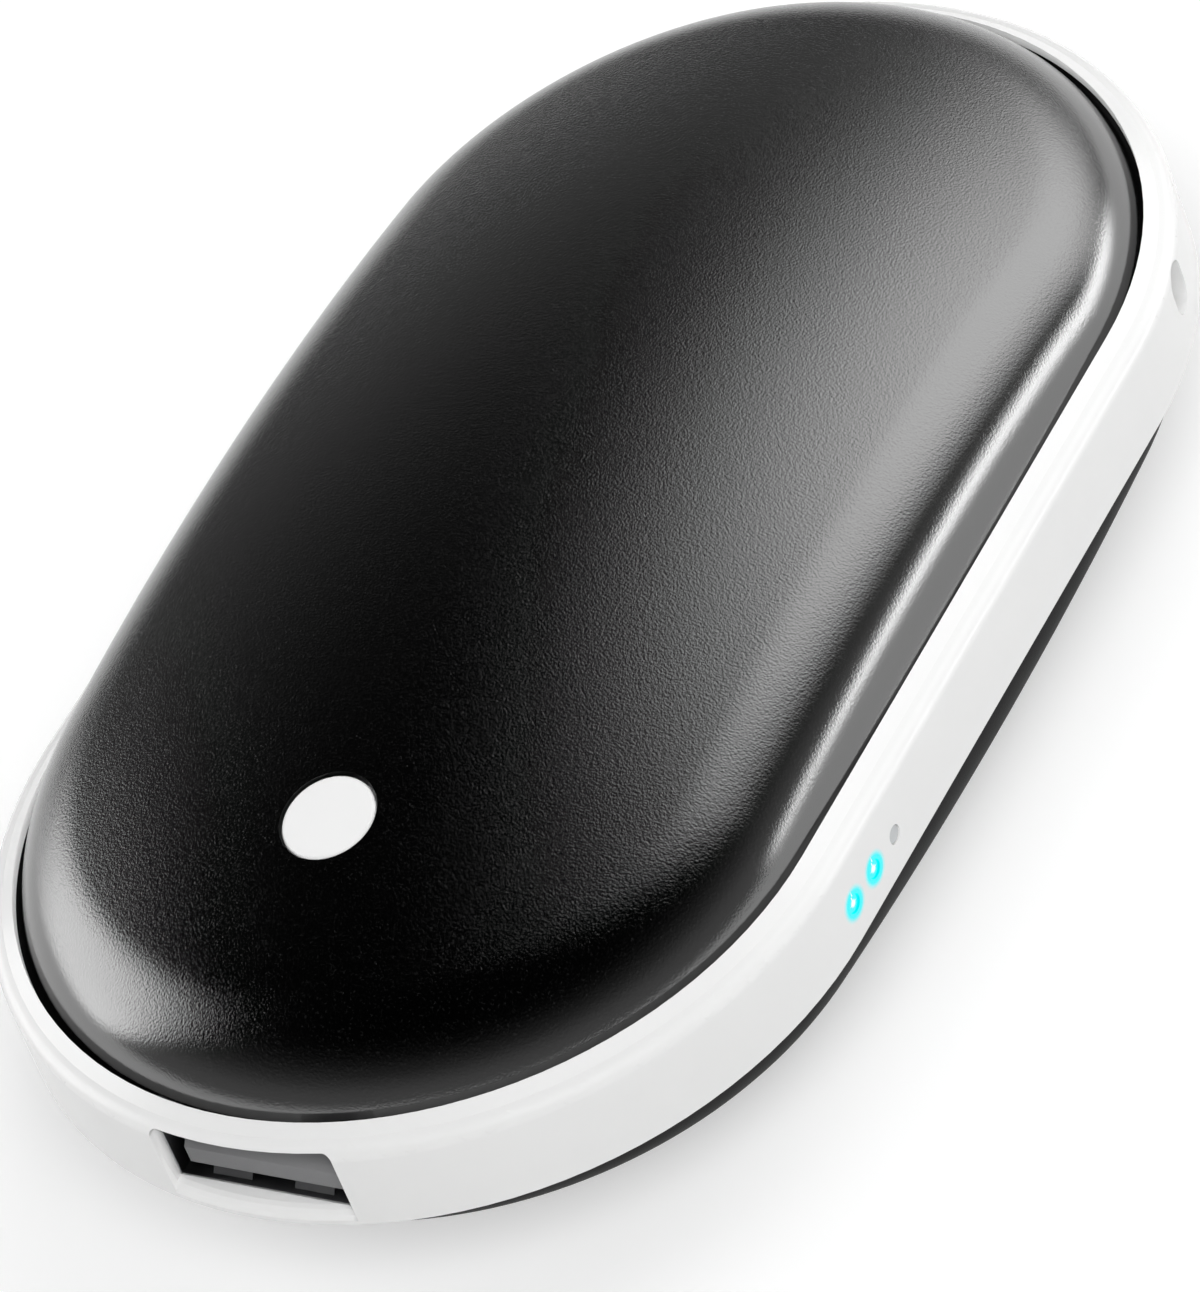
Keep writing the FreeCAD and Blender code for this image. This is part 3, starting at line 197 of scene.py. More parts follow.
def place_on_piece(tree):
    """Where a point lies, in the frame that all the pieces share."""
    return add(tree, "ShaderNodeTexCoord").outputs["Object"]


def noise(tree, place, density, detail, roughness=0.5):
    """Soft random spots from 0 to 1, so many to the metre."""
    sockets = {"Vector": place, "Scale": density, "Detail": detail, "Roughness": roughness}
    return add(tree, "ShaderNodeTexNoise", sockets).outputs["Fac"]


def new_effect(name, inputs, outputs):
    """An effect that several finishes share, with number sockets."""
    group = bpy.data.node_groups.new(name, "ShaderNodeTree")
    for label in inputs:
        group.interface.new_socket(label, in_out="INPUT", socket_type="NodeSocketFloat")
    for label in outputs:
        group.interface.new_socket(label, in_out="OUTPUT", socket_type="NodeSocketFloat")
    return group, add(group, "NodeGroupInput").outputs, add(group, "NodeGroupOutput").inputs


PEBBLE_DETAIL = 3.0
PEBBLE_ROUGHNESS = 0.6
DRIFT_SHARE = 0.05
DRIFT_DETAIL = 2.0


def make_grain():
    """Fine pebbles of a set pitch: their height, and a slow unevenness from 0 to 1."""
    group, given, result = new_effect("fine_grain", ["Pitch"], ["Height", "Unevenness"])
    place = place_on_piece(group)
    density = calculate(group, "DIVIDE", 1.0, given["Pitch"])
    pebbles = noise(group, place, density, PEBBLE_DETAIL, PEBBLE_ROUGHNESS)
    group.links.new(pebbles, result["Height"])
    drift = noise(group, place, calculate(group, "MULTIPLY", density, DRIFT_SHARE), DRIFT_DETAIL)
    group.links.new(drift, result["Unevenness"])
    return group


fine_grain = make_grain()


def blend_value(tree, mask, low, high):
    """A value that follows a mask from low to high."""
    return add(tree, "ShaderNodeMapRange", {"Value": mask, "To Min": low, "To Max": high}).outputs["Result"]


def blend_colour(tree, mask, low, high):
    """A colour that follows a mask from low to high."""
    sockets = {0: mask, 6: (*low, 1), 7: (*high, 1)}
    return add(tree, "ShaderNodeMix", sockets, data_type="RGBA").outputs[2]


def new_finish(name, **sockets):
    """A material with one Principled shader, with the plain values set on its sockets."""
    material = bpy.data.materials.new(name)
    material.use_nodes = True
    shader = material.node_tree.nodes["Principled BSDF"]
    for label, value in sockets.items():
        shader.inputs[label.replace("_", " ")].default_value = value
    return material, material.node_tree, shader.inputs


def vary(tree, shader, mask, dark, light, roughness):
    """Lets a finish's colour and roughness follow a mask."""
    tree.links.new(blend_colour(tree, mask, dark, light), shader["Base Color"])
    tree.links.new(blend_value(tree, mask, *roughness), shader["Roughness"])


def emboss(tree, shader, height, depth):
    """Gives a finish a relief of a set depth."""
    bump = add(tree, "ShaderNodeBump", {"Height": height, "Distance": depth})
    tree.links.new(bump.outputs["Normal"], shader["Normal"])


def grained_finish(name, dark, light, roughness, pitch, depth, **sockets):
    """A finish whose colour and roughness drift between two values over a fine grain."""
    material, tree, shader = new_finish(name, **sockets)
    grain = add(tree, "ShaderNodeGroup", {"Pitch": pitch}, node_tree=fine_grain).outputs
    vary(tree, shader, grain["Unevenness"], dark, light, roughness)
    emboss(tree, shader, grain["Height"], depth)
    return material


under_paint = grained_finish("under_paint", dark=(0.004, 0.004, 0.004), light=(0.007, 0.007, 0.007),
                             roughness=(0.48, 0.56), pitch=0.155 * MM, depth=0.016 * MM,
                             Specular_IOR_Level=0.05)

LOWER_FORM = dome_form("bottom_shell", cross_drop=1.97 * MM, long_drop=4.94 * MM, shoulder=8.4 * MM)
lower_skin = press_dome(LOWER_FORM)
bmesh.ops.scale(lower_skin, verts=lower_skin.verts, vec=(1, 1, -1))
bmesh.ops.translate(lower_skin, verts=lower_skin.verts, vec=(0, 0, FOOT))
flat_edges = cut_below(lower_skin, 0)
bmesh.ops.edgeloop_fill(lower_skin, edges=flat_edges)
bmesh.ops.recalc_face_normals(lower_skin, faces=lower_skin.faces)
face_out(lower_skin, Vector((0, 0, FOOT)))
bmesh.ops.solidify(lower_skin, geom=lower_skin.faces[:], thickness=SHELL_WALL)
lower_dome = make_piece("lower_dome", lower_skin)
dress(lower_dome, under_paint, "case", "dome_paint", "bottom_shell")


# Heater films: amber plastic sheets with an etched metal track that runs to and fro. One is glued under
# each dome, and a small sensor at its near edge reads its heat.
WAVE_PITCH = math.pi / 10
TRACK_PITCH = 2.4 * MM
TRACK_EDGE = (0.45, 0.55)
FILM_AMBER = (0.55, 0.27, 0.06)
TRACK_GREY = (0.33, 0.30, 0.26)


def finish_nodes(material, *names):
    """Gives carried-over solids their finish."""
    for name in names:
        for slot in nodes[name].material_slots:
            slot.material = material


def mask_between(tree, value, start, end, **settings):
    """A mask that goes from 0 to 1 while a value goes from the start to the end."""
    sockets = {"Value": value, "From Min": start, "From Max": end}
    return add(tree, "ShaderNodeMapRange", sockets, **settings).outputs["Result"]


def make_film_amber():
    """Amber film with its metal track in even rows."""
    material, tree, shader = new_finish("film_amber", Coat_Weight=0.3)
    sockets = {"Vector": place_on_piece(tree), "Scale": WAVE_PITCH / TRACK_PITCH, "Distortion": 0.0}
    rows = add(tree, "ShaderNodeTexWave", sockets, wave_type="BANDS", bands_direction="Y")
    track = mask_between(tree, rows.outputs["Fac"], *TRACK_EDGE)
    vary(tree, shader, track, FILM_AMBER, TRACK_GREY, roughness=(0.30, 0.45))
    return material


finish_nodes(make_film_amber(), "heater_film_lower", "heater_film_upper")

chip_black = grained_finish("chip_black", dark=(0.020, 0.020, 0.022), light=(0.035, 0.035, 0.037),
                            roughness=(0.45, 0.60), pitch=0.10 * MM, depth=0.01 * MM)
finish_nodes(chip_black, "temperature_sensors")


# Foam pads: open grey foam, cut to rounded panels. They press the films against the domes and keep the
# heat off the battery, flat on the battery's side and crowned on the film's.
PAD_CORNER = 5.0 * MM
PAD_STEPS = 24
PAD_EASE = 0.25 * MM
PAD_ROUNDING_PASSES = 2
PAD_ROUNDING = 0.5
UPPER_FORM = dome_form("top_shell", cross_drop=4.32 * MM, long_drop=5.994 * MM, shoulder=7.8 * MM)
foam_grey = grained_finish("foam_grey", dark=(0.16, 0.16, 0.165), light=(0.26, 0.26, 0.265),
                           roughness=(0.85, 0.95), pitch=0.45 * MM, depth=0.12 * MM, Sheen_Weight=0.3)


def foam_pad(name, solid, form, over):
    """A soft-edged pad in the room of its solid, crowned on the dome's side."""
    low, high = (Vector(corner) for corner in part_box(solid))
    half = (high - low) / 2 - Vector((PAD_EASE, PAD_EASE, PAD_EASE))
    shape = bmesh.new()
    bmesh.ops.create_cube(shape, size=2)
    bmesh.ops.subdivide_edges(shape, edges=shape.edges, cuts=PAD_STEPS, use_grid_fill=True)
    bmesh.ops.scale(shape, verts=shape.verts, vec=half)
    for vert in shape.verts:
        corner = Vector((abs(vert.co.x) - half.x + PAD_CORNER, abs(vert.co.y) - half.y + PAD_CORNER))
        if corner.x > 0 and corner.y > 0:
            pull = (max(corner) / corner.length - 1) * corner
            vert.co.x += math.copysign(1, vert.co.x) * pull.x
            vert.co.y += math.copysign(1, vert.co.y) * pull.y
    bmesh.ops.translate(shape, verts=shape.verts, vec=(low + high) / 2)
    for vert in shape.verts:
        droop = DOME_RISE - crown(form, vert.co.x, vert.co.y)[0]
        share = (vert.co.z - low.z) / (high.z - low.z)
        vert.co.z += -droop * share if over else droop * (1 - share)
    for _ in range(PAD_ROUNDING_PASSES):
        bmesh.ops.smooth_vert(shape, verts=shape.verts, factor=PAD_ROUNDING, use_axis_x=True,
                              use_axis_y=True, use_axis_z=True)
    bmesh.ops.recalc_face_normals(shape, faces=shape.faces)
    pad = make_piece(name, shape, crease=80)
    dress(pad, foam_grey, "case", "foam_grey", solid)


foam_pad("lower_pad", "foam_pad_lower", LOWER_FORM, over=False)
foam_pad("upper_pad", "foam_pad_upper", UPPER_FORM, over=True)


# Band: the frame between the domes, moulded in smooth glossy white plastic, with a sloped lip, the
# socket's recess, the light holes and the lanyard slots. The lit lamps' glow round their holes is painted
# on it as emission, and the floor of its rabbet under the upper dome's edge is painted black as shade.
GUIDE_LOW, GUIDE_HIGH = (Vector(corner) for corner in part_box("light_guide"))
LIGHT_PITCH = 2.83 * MM
LIGHT_DROP = 4.5 * MM
LIGHT_MIDDLE = Vector((band_high.x, (GUIDE_LOW.y + GUIDE_HIGH.y) / 2, RIM - LIGHT_DROP))
LIT = [LIGHT_MIDDLE - Vector((0, LIGHT_PITCH, 0)), LIGHT_MIDDLE]
# The lit lamps' light is painted on the finishes: a cyan glow round each hole and a white star glint in it.
PAINTED_GLOW_CORE = 0.80 * MM
PAINTED_GLOW_REACH = 1.30 * MM
PAINTED_GLOW_SQUEEZE = (0.5, 1, 1)
PAINTED_STAR_CORE = 0.12 * MM
PAINTED_STAR_REACH = 0.34 * MM
# Each ray of the painted star glint: how far it lies over the lamp, and how much it is squeezed along X, Y
# and Z.
PAINTED_STAR_RAYS = [(0.45 * MM, (0.1, 5.0, 0.5)), (0, (0.1, 0.7, 5.0)), (0, (0.5, 1, 1))]
UNLIT = (0, 0, 0)
PAINTED_GLOW_CYAN = (0.0, 0.84, 0.89)
PAINTED_STAR_CYAN_TO_WHITE = (1.0, 0.12, 0.08, 1)
UNDER_PAINTED_GLOW = (0.0, 0.02, 0.02)


def calculate_vector(tree, operation, first, second):
    """A vector that is worked out from two others."""
    return add(tree, "ShaderNodeVectorMath", {0: first, 1: second}, operation=operation).outputs[0]


def length_of(tree, vector):
    """How long a vector is."""
    return add(tree, "ShaderNodeVectorMath", {0: vector}, operation="LENGTH").outputs["Value"]


def make_painted_lamp_glow():
    """Masks for the lit lamps' painted light: a round glow that fades out, and a small painted star glint
    in its middle.
    """
    group, _, result = new_effect("painted_lamp_glow", [], ["Glow", "Star"])
    place = place_on_piece(group)

    def spot(centre, squeeze, core, reach):
        offset = calculate_vector(group, "SUBTRACT", place, centre)
        away = length_of(group, calculate_vector(group, "MULTIPLY", offset, squeeze))
        return mask_between(group, away, reach, core, interpolation_type="SMOOTHSTEP")

    def brightest(spots):
        best = spots[0]
        for other in spots[1:]:
            best = calculate(group, "MAXIMUM", best, other)
        return best

    painted_glows = [spot(lamp, PAINTED_GLOW_SQUEEZE, PAINTED_GLOW_CORE, PAINTED_GLOW_REACH) for lamp in LIT]
    painted_stars = [spot(lamp + Vector((0, 0, rise)), squeeze, PAINTED_STAR_CORE, PAINTED_STAR_REACH)
             for lamp in LIT for rise, squeeze in PAINTED_STAR_RAYS]
    group.links.new(brightest(painted_glows), result["Glow"])
    group.links.new(brightest(painted_stars), result["Star"])
    return group


painted_lamp_glow = make_painted_lamp_glow()


def paint_over(material, mask, colour):
    """Covers a finish's own colour with another one, as far as a mask says."""
    tree = material.node_tree
    base = tree.nodes["Principled BSDF"].inputs["Base Color"]
    sockets = {0: mask, 6: base.links[0].from_socket, 7: (*colour, 1)}
    tree.links.new(add(tree, "ShaderNodeMix", sockets, data_type="RGBA").outputs[2], base)


def paint_lamp_light(material):
    """Paints the lit lamps' light on a finish: a dark base under a cyan glow, and a white star glint, as
    emission.
    """
    tree = material.node_tree
    lamp = add(tree, "ShaderNodeGroup", node_tree=painted_lamp_glow).outputs
    # Painted glow: the base colour turns dark cyan under it.
    paint_over(material, lamp["Glow"], UNDER_PAINTED_GLOW)
    sockets = {0: lamp["Star"], 6: blend_colour(tree, lamp["Glow"], UNLIT, PAINTED_GLOW_CYAN), 7: PAINTED_STAR_CYAN_TO_WHITE}
    light = add(tree, "ShaderNodeMix", sockets, data_type="RGBA", blend_type="ADD")
    tree.links.new(light.outputs[2], tree.nodes["Principled BSDF"].inputs["Emission Color"])


band_white = grained_finish("band_white", dark=(0.84, 0.84, 0.84), light=(0.87, 0.87, 0.865),
                            roughness=(0.21, 0.27), pitch=0.30 * MM, depth=0.002 * MM,
                            Emission_Strength=1.0)
# The band's emission is the painted glow of the lit lamps round their holes.
paint_lamp_light(band_white)

LIP_GAP = 0.08 * MM
INNER_RUN = 0.84 * MM
INNER_DROP = 0.57 * MM
OUTER_DROP = 0.90 * MM
LIP_TOP = Vector((UPPER_FORM[0] + LIP_GAP, RIM))
LIP_CREASE = Vector((UPPER_FORM[0] + INNER_RUN, RIM - INNER_DROP))
LIP_EDGE = Vector((band_high.x, RIM - OUTER_DROP))
LIP_ROUND = 1.0 * MM
LIP_LEAN = math.atan2(LIP_CREASE.y - LIP_EDGE.y, LIP_EDGE.x - LIP_CREASE.x)
ROUND_CENTRE = LIP_EDGE - Vector((LIP_ROUND, LIP_ROUND * math.tan(math.pi / 4 - LIP_LEAN / 2)))
ROUND_SLACK = 0.02 * MM
SAME_FACE = math.cos(math.radians(14))


def sweep_normals(place):
    """The normals of the band's section at a place: its round edge, its wall and the lip's two slopes."""
    outward = (place - spine_of(place)) * Vector((1, 1, 0))
    spot = Vector((outward.length, place.z))
    from_centre = spot - ROUND_CENTRE
    inner_slope = (LIP_CREASE - LIP_TOP).orthogonal()
    outer_slope = (LIP_EDGE - LIP_CREASE).orthogonal()
    flat_normals = [Vector((1, 0)), inner_slope, outer_slope]
    if min(from_centre) > 0 and abs(from_centre.length - LIP_ROUND) < ROUND_SLACK:
        flat_normals.insert(0, from_centre)
    outward.normalize()
    for flat in flat_normals:
        flat.normalize()
        yield outward * flat.x + Vector((0, 0, flat.y))


def smooth_sweep(mesh):
    """Gives the band's swept faces the exact normals of their section, and leaves its cut faces alone."""
    normals = [corner.vector.copy() for corner in mesh.corner_normals]
    for face in mesh.polygons:
        for corner in face.loop_indices:
            place = mesh.vertices[mesh.loops[corner].vertex_index].co
            for normal in sweep_normals(place):
                if normal.dot(face.normal) > SAME_FACE:
                    normals[corner] = normal
                    break
    mesh.normals_split_custom_set(normals)


# Painted shade: the rabbet's floor under the upper dome's edge is painted black, as the joint's shade.
RABBET_SHADE_BLACK = (0.004, 0.004, 0.004)
RABBET_SHADE_DEPTH = 0.9 * MM
RABBET_SHADE_EDGE = 0.04 * MM


def make_outline_place():
    """Where a point lies in the body's section: how far out from its middle line, and how high."""
    group, _, result = new_effect("outline_place", [], ["Outward", "Height"])
    part = add(group, "ShaderNodeSeparateXYZ", {0: place_on_piece(group)}).outputs
    past = calculate(group, "SUBTRACT", calculate(group, "ABSOLUTE", part["Y"]), STRAIGHT)
    past = calculate(group, "MAXIMUM", past, 0.0)
    offset = add(group, "ShaderNodeCombineXYZ", {"X": part["X"], "Y": past}).outputs[0]
    group.links.new(length_of(group, offset), result["Outward"])
    group.links.new(part["Z"], result["Height"])
    return group


outline_place = make_outline_place()


def paint_rabbet_shade(material):
    """Paints shade black on the floor of the rabbet inside the lip, under the upper dome's edge."""
    tree = material.node_tree
    place = add(tree, "ShaderNodeGroup", node_tree=outline_place).outputs
    inside = calculate(tree, "LESS_THAN", place["Outward"], LIP_TOP.x - RABBET_SHADE_EDGE)
    high = calculate(tree, "GREATER_THAN", place["Height"], RIM - RABBET_SHADE_DEPTH)
    paint_over(material, calculate(tree, "MULTIPLY", inside, high), RABBET_SHADE_BLACK)


# The rabbet's floor is painted black as shade in the joint.
paint_rabbet_shade(band_white)


def copy_of(solid):
    """A copy of a solid's mesh, with its loose triangles merged."""
    shape = bmesh.new()
    shape.from_mesh(nodes[solid].data)
    bmesh.ops.remove_doubles(shape, verts=shape.verts, dist=MERGE)
    return shape


band = make_piece("band", copy_of("middle_frame"), crease=25)
smooth_sweep(band.data)
dress(band, band_white, "case", "band_white", "middle_frame")


# Battery tray: an open box moulded in grey plastic. Its ears are screwed to the band's bosses with slotted
# screws of bright zinc, which show the drawn lines of their wire.
tray_grey = grained_finish("tray_grey", dark=(0.23, 0.23, 0.24), light=(0.31, 0.31, 0.32),
                           roughness=(0.50, 0.62), pitch=0.25 * MM, depth=0.02 * MM)
finish_nodes(tray_grey, "battery_tray")

LINE_SQUEEZE = (1, 0.04, 1)
LINE_DETAIL = 2.0
LINE_DEPTH = 0.004 * MM
TONE_SHARE = 0.1
TONE_DETAIL = 3.0


def make_drawn_lines():
    """Fine lines along Y, as rolling and drawing leave on sheet and wire."""
    group, given, result = new_effect("drawn_lines", ["Pitch"], ["Height", "Unevenness"])
    place = place_on_piece(group)
    density = calculate(group, "DIVIDE", 1.0, given["Pitch"])
    lines = noise(group, calculate_vector(group, "MULTIPLY", place, LINE_SQUEEZE), density, LINE_DETAIL)
    group.links.new(lines, result["Height"])
    tone = noise(group, place, calculate(group, "MULTIPLY", density, TONE_SHARE), TONE_DETAIL)
    group.links.new(tone, result["Unevenness"])
    return group


drawn_lines = make_drawn_lines()


def metal_finish(name, dark, light, roughness, pitch):
    """Bare or plated metal with drawn lines and a slightly uneven tone."""
    material, tree, shader = new_finish(name, Metallic=1.0)
    lines = add(tree, "ShaderNodeGroup", {"Pitch": pitch}, node_tree=drawn_lines).outputs
    tree.links.new(blend_colour(tree, lines["Unevenness"], dark, light), shader["Base Color"])
    tree.links.new(blend_value(tree, lines["Height"], *roughness), shader["Roughness"])
    emboss(tree, shader, lines["Height"], LINE_DEPTH)
    return material


screw_steel = metal_finish("screw_steel", dark=(0.50, 0.50, 0.51), light=(0.66, 0.66, 0.67),
                           roughness=(0.28, 0.42), pitch=0.08 * MM)
finish_nodes(screw_steel, "tray_screws")


# Battery: two pouch cells in creased silver laminate with a strip of white foam tape between them. Tinned
# tabs join them to a narrow green protection board.
CREASE_PITCH = 4.0 * MM
CREASE_DEPTH = 0.08 * MM
POUCH_DULL = (0.62, 0.63, 0.65)
POUCH_BRIGHT = (0.76, 0.77, 0.79)


def make_pouch_silver():
    """Metal laminate that is duller and rougher along its creases."""
    material, tree, shader = new_finish("pouch_silver", Metallic=1.0)
    sockets = {"Vector": place_on_piece(tree), "Scale": 1 / CREASE_PITCH}
    creases = add(tree, "ShaderNodeTexVoronoi", sockets, feature="DISTANCE_TO_EDGE").outputs["Distance"]
    vary(tree, shader, creases, POUCH_DULL, POUCH_BRIGHT, roughness=(0.45, 0.32))
    emboss(tree, shader, creases, CREASE_DEPTH)
    return material


finish_nodes(make_pouch_silver(), "battery_cell_lower", "battery_cell_upper")

tape_white = grained_finish("tape_white", dark=(0.70, 0.70, 0.66), light=(0.80, 0.80, 0.77),
                            roughness=(0.75, 0.90), pitch=0.30 * MM, depth=0.05 * MM)
finish_nodes(tape_white, "battery_tape")

tinned_metal = metal_finish("tinned_metal", dark=(0.60, 0.60, 0.60), light=(0.74, 0.74, 0.73),
                            roughness=(0.30, 0.48), pitch=0.12 * MM)
finish_nodes(tinned_metal, "battery_tabs")


# Boards: glass-fibre laminate under green solder mask, with copper tracks that show as paler lines through
# it. The main board sits on the band's ledge and is held by two of the screws.
TRACE_PITCH = 1.6 * MM
TRACE_SCATTER = 0.75
TRACE_EDGE = (0.40, 0.46)
TRACE_DEPTH = 0.03 * MM
MASK_DARK = (0.012, 0.085, 0.035)
MASK_PALE = (0.030, 0.170, 0.070)


def make_board_green():
    """Solder mask over copper tracks, which stand out as paler lines, slightly raised."""
    material, tree, shader = new_finish("board_green", Coat_Weight=0.4, Coat_Roughness=0.2)
    sockets = {"Vector": place_on_piece(tree), "Scale": 1 / TRACE_PITCH, "Randomness": TRACE_SCATTER}
    cells = add(tree, "ShaderNodeTexVoronoi", sockets, distance="CHEBYCHEV").outputs["Distance"]
    trace = mask_between(tree, cells, *TRACE_EDGE)
    vary(tree, shader, trace, MASK_DARK, MASK_PALE, roughness=(0.38, 0.30))
    emboss(tree, shader, trace, TRACE_DEPTH)
    return material


finish_nodes(make_board_green(), "main_board", "protection_board")
finish_nodes(screw_steel, "board_screws")


# Parts on the board: a control chip and two transistors in black epoxy, a pressed ferrite coil and three
# tan ceramic capacitors, all soldered to its upper face.
finish_nodes(chip_black, "control_chip", "heater_transistors")
coil_grey = grained_finish("coil_grey", dark=(0.11, 0.11, 0.115), light=(0.18, 0.18, 0.185),
                           roughness=(0.55, 0.75), pitch=0.18 * MM, depth=0.03 * MM)
finish_nodes(coil_grey, "power_coil")
capacitor_tan = grained_finish("capacitor_tan", dark=(0.40, 0.29, 0.17), light=(0.52, 0.39, 0.25),
                               roughness=(0.40, 0.50), pitch=0.15 * MM, depth=0.01 * MM)
finish_nodes(capacitor_tan, "filter_capacitors")


# Leads: soft silicone wires. A red and a black one join the battery to the board, and two white pairs run
# from the heater films' near edges.
for lead_name, lead_dark, lead_light, lead_nodes in (
        ("lead_red", (0.40, 0.015, 0.015), (0.52, 0.03, 0.03), ["battery_lead_positive"]),
        ("lead_black", (0.015, 0.015, 0.015), (0.03, 0.03, 0.03), ["battery_lead_negative"]),
        ("lead_white", (0.68, 0.68, 0.66), (0.78, 0.78, 0.76),
         ["heater_leads_upper", "heater_leads_lower"])):
    lead_jacket = grained_finish(lead_name, lead_dark, lead_light, roughness=(0.45, 0.60),
                                 pitch=0.12 * MM, depth=0.01 * MM)
    finish_nodes(lead_jacket, *lead_nodes)


# USB socket: a folded tube of plated sheet steel with two spring fingers, its front cut edge painted near
# white as a highlight, and a grey moulded tongue with four gilt contacts. It hangs under the board behind
# the band's recess.
CUT_EDGE = 0.12 * MM
CUT_HIGHLIGHT_WHITE = (0.92, 0.92, 0.93)
CUT_ROUGHNESS = 0.7
NOSE_CHAMFER = 0.55 * MM
FLAT_ANGLE = math.radians(1)


def paint_cut_edge_highlight(material, front):
    """Paints a near-white highlight along the front cut edge of a finish of rolled steel, and makes that
    torn edge rough.
    """
    tree = material.node_tree
    along = add(tree, "ShaderNodeSeparateXYZ", {0: place_on_piece(tree)}).outputs["Y"]
    cut = calculate(tree, "LESS_THAN", along, front + CUT_EDGE)
    # Painted highlight: the front cut edge is whitened.
    paint_over(material, cut, CUT_HIGHLIGHT_WHITE)
    roughness = tree.nodes["Principled BSDF"].inputs["Roughness"]
    torn = calculate(tree, "MULTIPLY", cut, CUT_ROUGHNESS)
    tree.links.new(calculate(tree, "MAXIMUM", torn, roughness.links[0].from_socket), roughness)


socket_steel = metal_finish("socket_steel", dark=(0.26, 0.26, 0.27), light=(0.36, 0.36, 0.37),
                            roughness=(0.25, 0.38), pitch=0.10 * MM)
paint_cut_edge_highlight(socket_steel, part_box("usb_socket_shell")[0][1])
finish_nodes(socket_steel, "usb_socket_shell")

tongue_grey = grained_finish("tongue_grey", dark=(0.19, 0.19, 0.195), light=(0.23, 0.23, 0.235),
                             roughness=(0.50, 0.60), pitch=0.15 * MM, depth=0.01 * MM)
tongue_shape = copy_of("usb_socket_tongue")
bmesh.ops.dissolve_limit(tongue_shape, angle_limit=FLAT_ANGLE, verts=tongue_shape.verts,
                         edges=tongue_shape.edges)
tongue_front = min(vert.co.y for vert in tongue_shape.verts)
nose_top = max(vert.co.z for vert in tongue_shape.verts if vert.co.y < tongue_front + MERGE)
nose_edge = [edge for edge in tongue_shape.edges
             if all(vert.co.y < tongue_front + MERGE and vert.co.z > nose_top - MERGE
                    for vert in edge.verts)]
bmesh.ops.bevel(tongue_shape, geom=nose_edge, offset=NOSE_CHAMFER, affect="EDGES", segments=1, profile=0.5,
                material=-1)
tongue = make_piece("usb_tongue", tongue_shape)
dress(tongue, tongue_grey, "case", "tongue_grey", "usb_socket_tongue")

contact_gold = metal_finish("contact_gold", dark=(0.76, 0.55, 0.20), light=(0.86, 0.66, 0.30),
                            roughness=(0.22, 0.32), pitch=0.06 * MM)
finish_nodes(contact_gold, "usb_socket_contacts")


# Charging inlet: a small skewed tube of the same plated steel with a black tongue, on a black riser under
# the board's left arm.
socket_black = grained_finish("socket_black", dark=(0.015, 0.015, 0.016), light=(0.025, 0.025, 0.026),
                              roughness=(0.45, 0.58), pitch=0.15 * MM, depth=0.01 * MM)
finish_nodes(socket_steel, "charging_inlet_shell")
finish_nodes(socket_black, "charging_inlet_tongue", "charging_inlet_riser")


# Charge lights: three lamps under the board's right arm, and the clear moulded guide whose prongs carry
# their light to the band's face. The two nearer the USB end are lit, with their glow painted on the guide
# and the band.
lamp_clear = grained_finish("lamp_clear", dark=(0.10, 0.50, 0.55), light=(0.16, 0.62, 0.68),
                            roughness=(0.12, 0.20), pitch=0.20 * MM, depth=0.005 * MM)
finish_nodes(lamp_clear, "charge_lamps")
guide_clear = grained_finish("guide_clear", dark=(0.50, 0.52, 0.53), light=(0.60, 0.62, 0.63),
                             roughness=(0.15, 0.25), pitch=0.20 * MM, depth=0.004 * MM,
                             Emission_Strength=1.0)
# The guide's emission is the painted glow of the lit lamps.
paint_lamp_light(guide_clear)
finish_nodes(guide_clear, "light_guide")


# Tact switch: a black moulded body with a grey plunger that carries the button, and four tinned legs that
# are soldered to the board.
switch_grey = grained_finish("switch_grey", dark=(0.24, 0.24, 0.25), light=(0.32, 0.32, 0.33),
                             roughness=(0.45, 0.55), pitch=0.15 * MM, depth=0.01 * MM)
finish_nodes(socket_black, "switch_body")
finish_nodes(switch_grey, "switch_plunger")
finish_nodes(tinned_metal, "switch_legs")


# Upper dome: pressed like the lower one, to the narrower rim inside the band's lip, with a hole near the
# USB end for the button. A glossier black powder coat with painted glints covers it, and it sits in the
# band's rabbet.
BUTTON_LOW, BUTTON_HIGH = (Vector(corner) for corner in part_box("button_cap"))
BUTTON_Y = (BUTTON_LOW.y + BUTTON_HIGH.y) / 2
HOLE_RADIUS = 3.12 * MM
HOLE_STEPS = 72
CLEAR_RADIUS = 3.9 * MM
PAINTED_GLINT_HEIGHT = (0.60, 0.66)
PAINTED_GLINT_GREY = (0.009, 0.009, 0.009)
CALM_START = UPPER_FORM[0] - 2.8 * MM
CALM_END = UPPER_FORM[0] - 1.7 * MM
SHOULDER_GRAIN = 0.35

dome_paint = grained_finish("dome_paint", dark=(0.0003, 0.0003, 0.0003), light=(0.0006, 0.0006, 0.0006),
                            roughness=(0.10, 0.13), pitch=0.16 * MM, depth=0.028 * MM,
                            Specular_IOR_Level=1.0, IOR=1.8)


def paint_glints(material):
    """Paints pale specks on the tallest grains of a powder coat, as glints of light on them."""
    tree = material.node_tree
    height = tree.nodes["Bump"].inputs["Height"].links[0].from_socket
    paint_over(material, mask_between(tree, height, *PAINTED_GLINT_HEIGHT), PAINTED_GLINT_GREY)


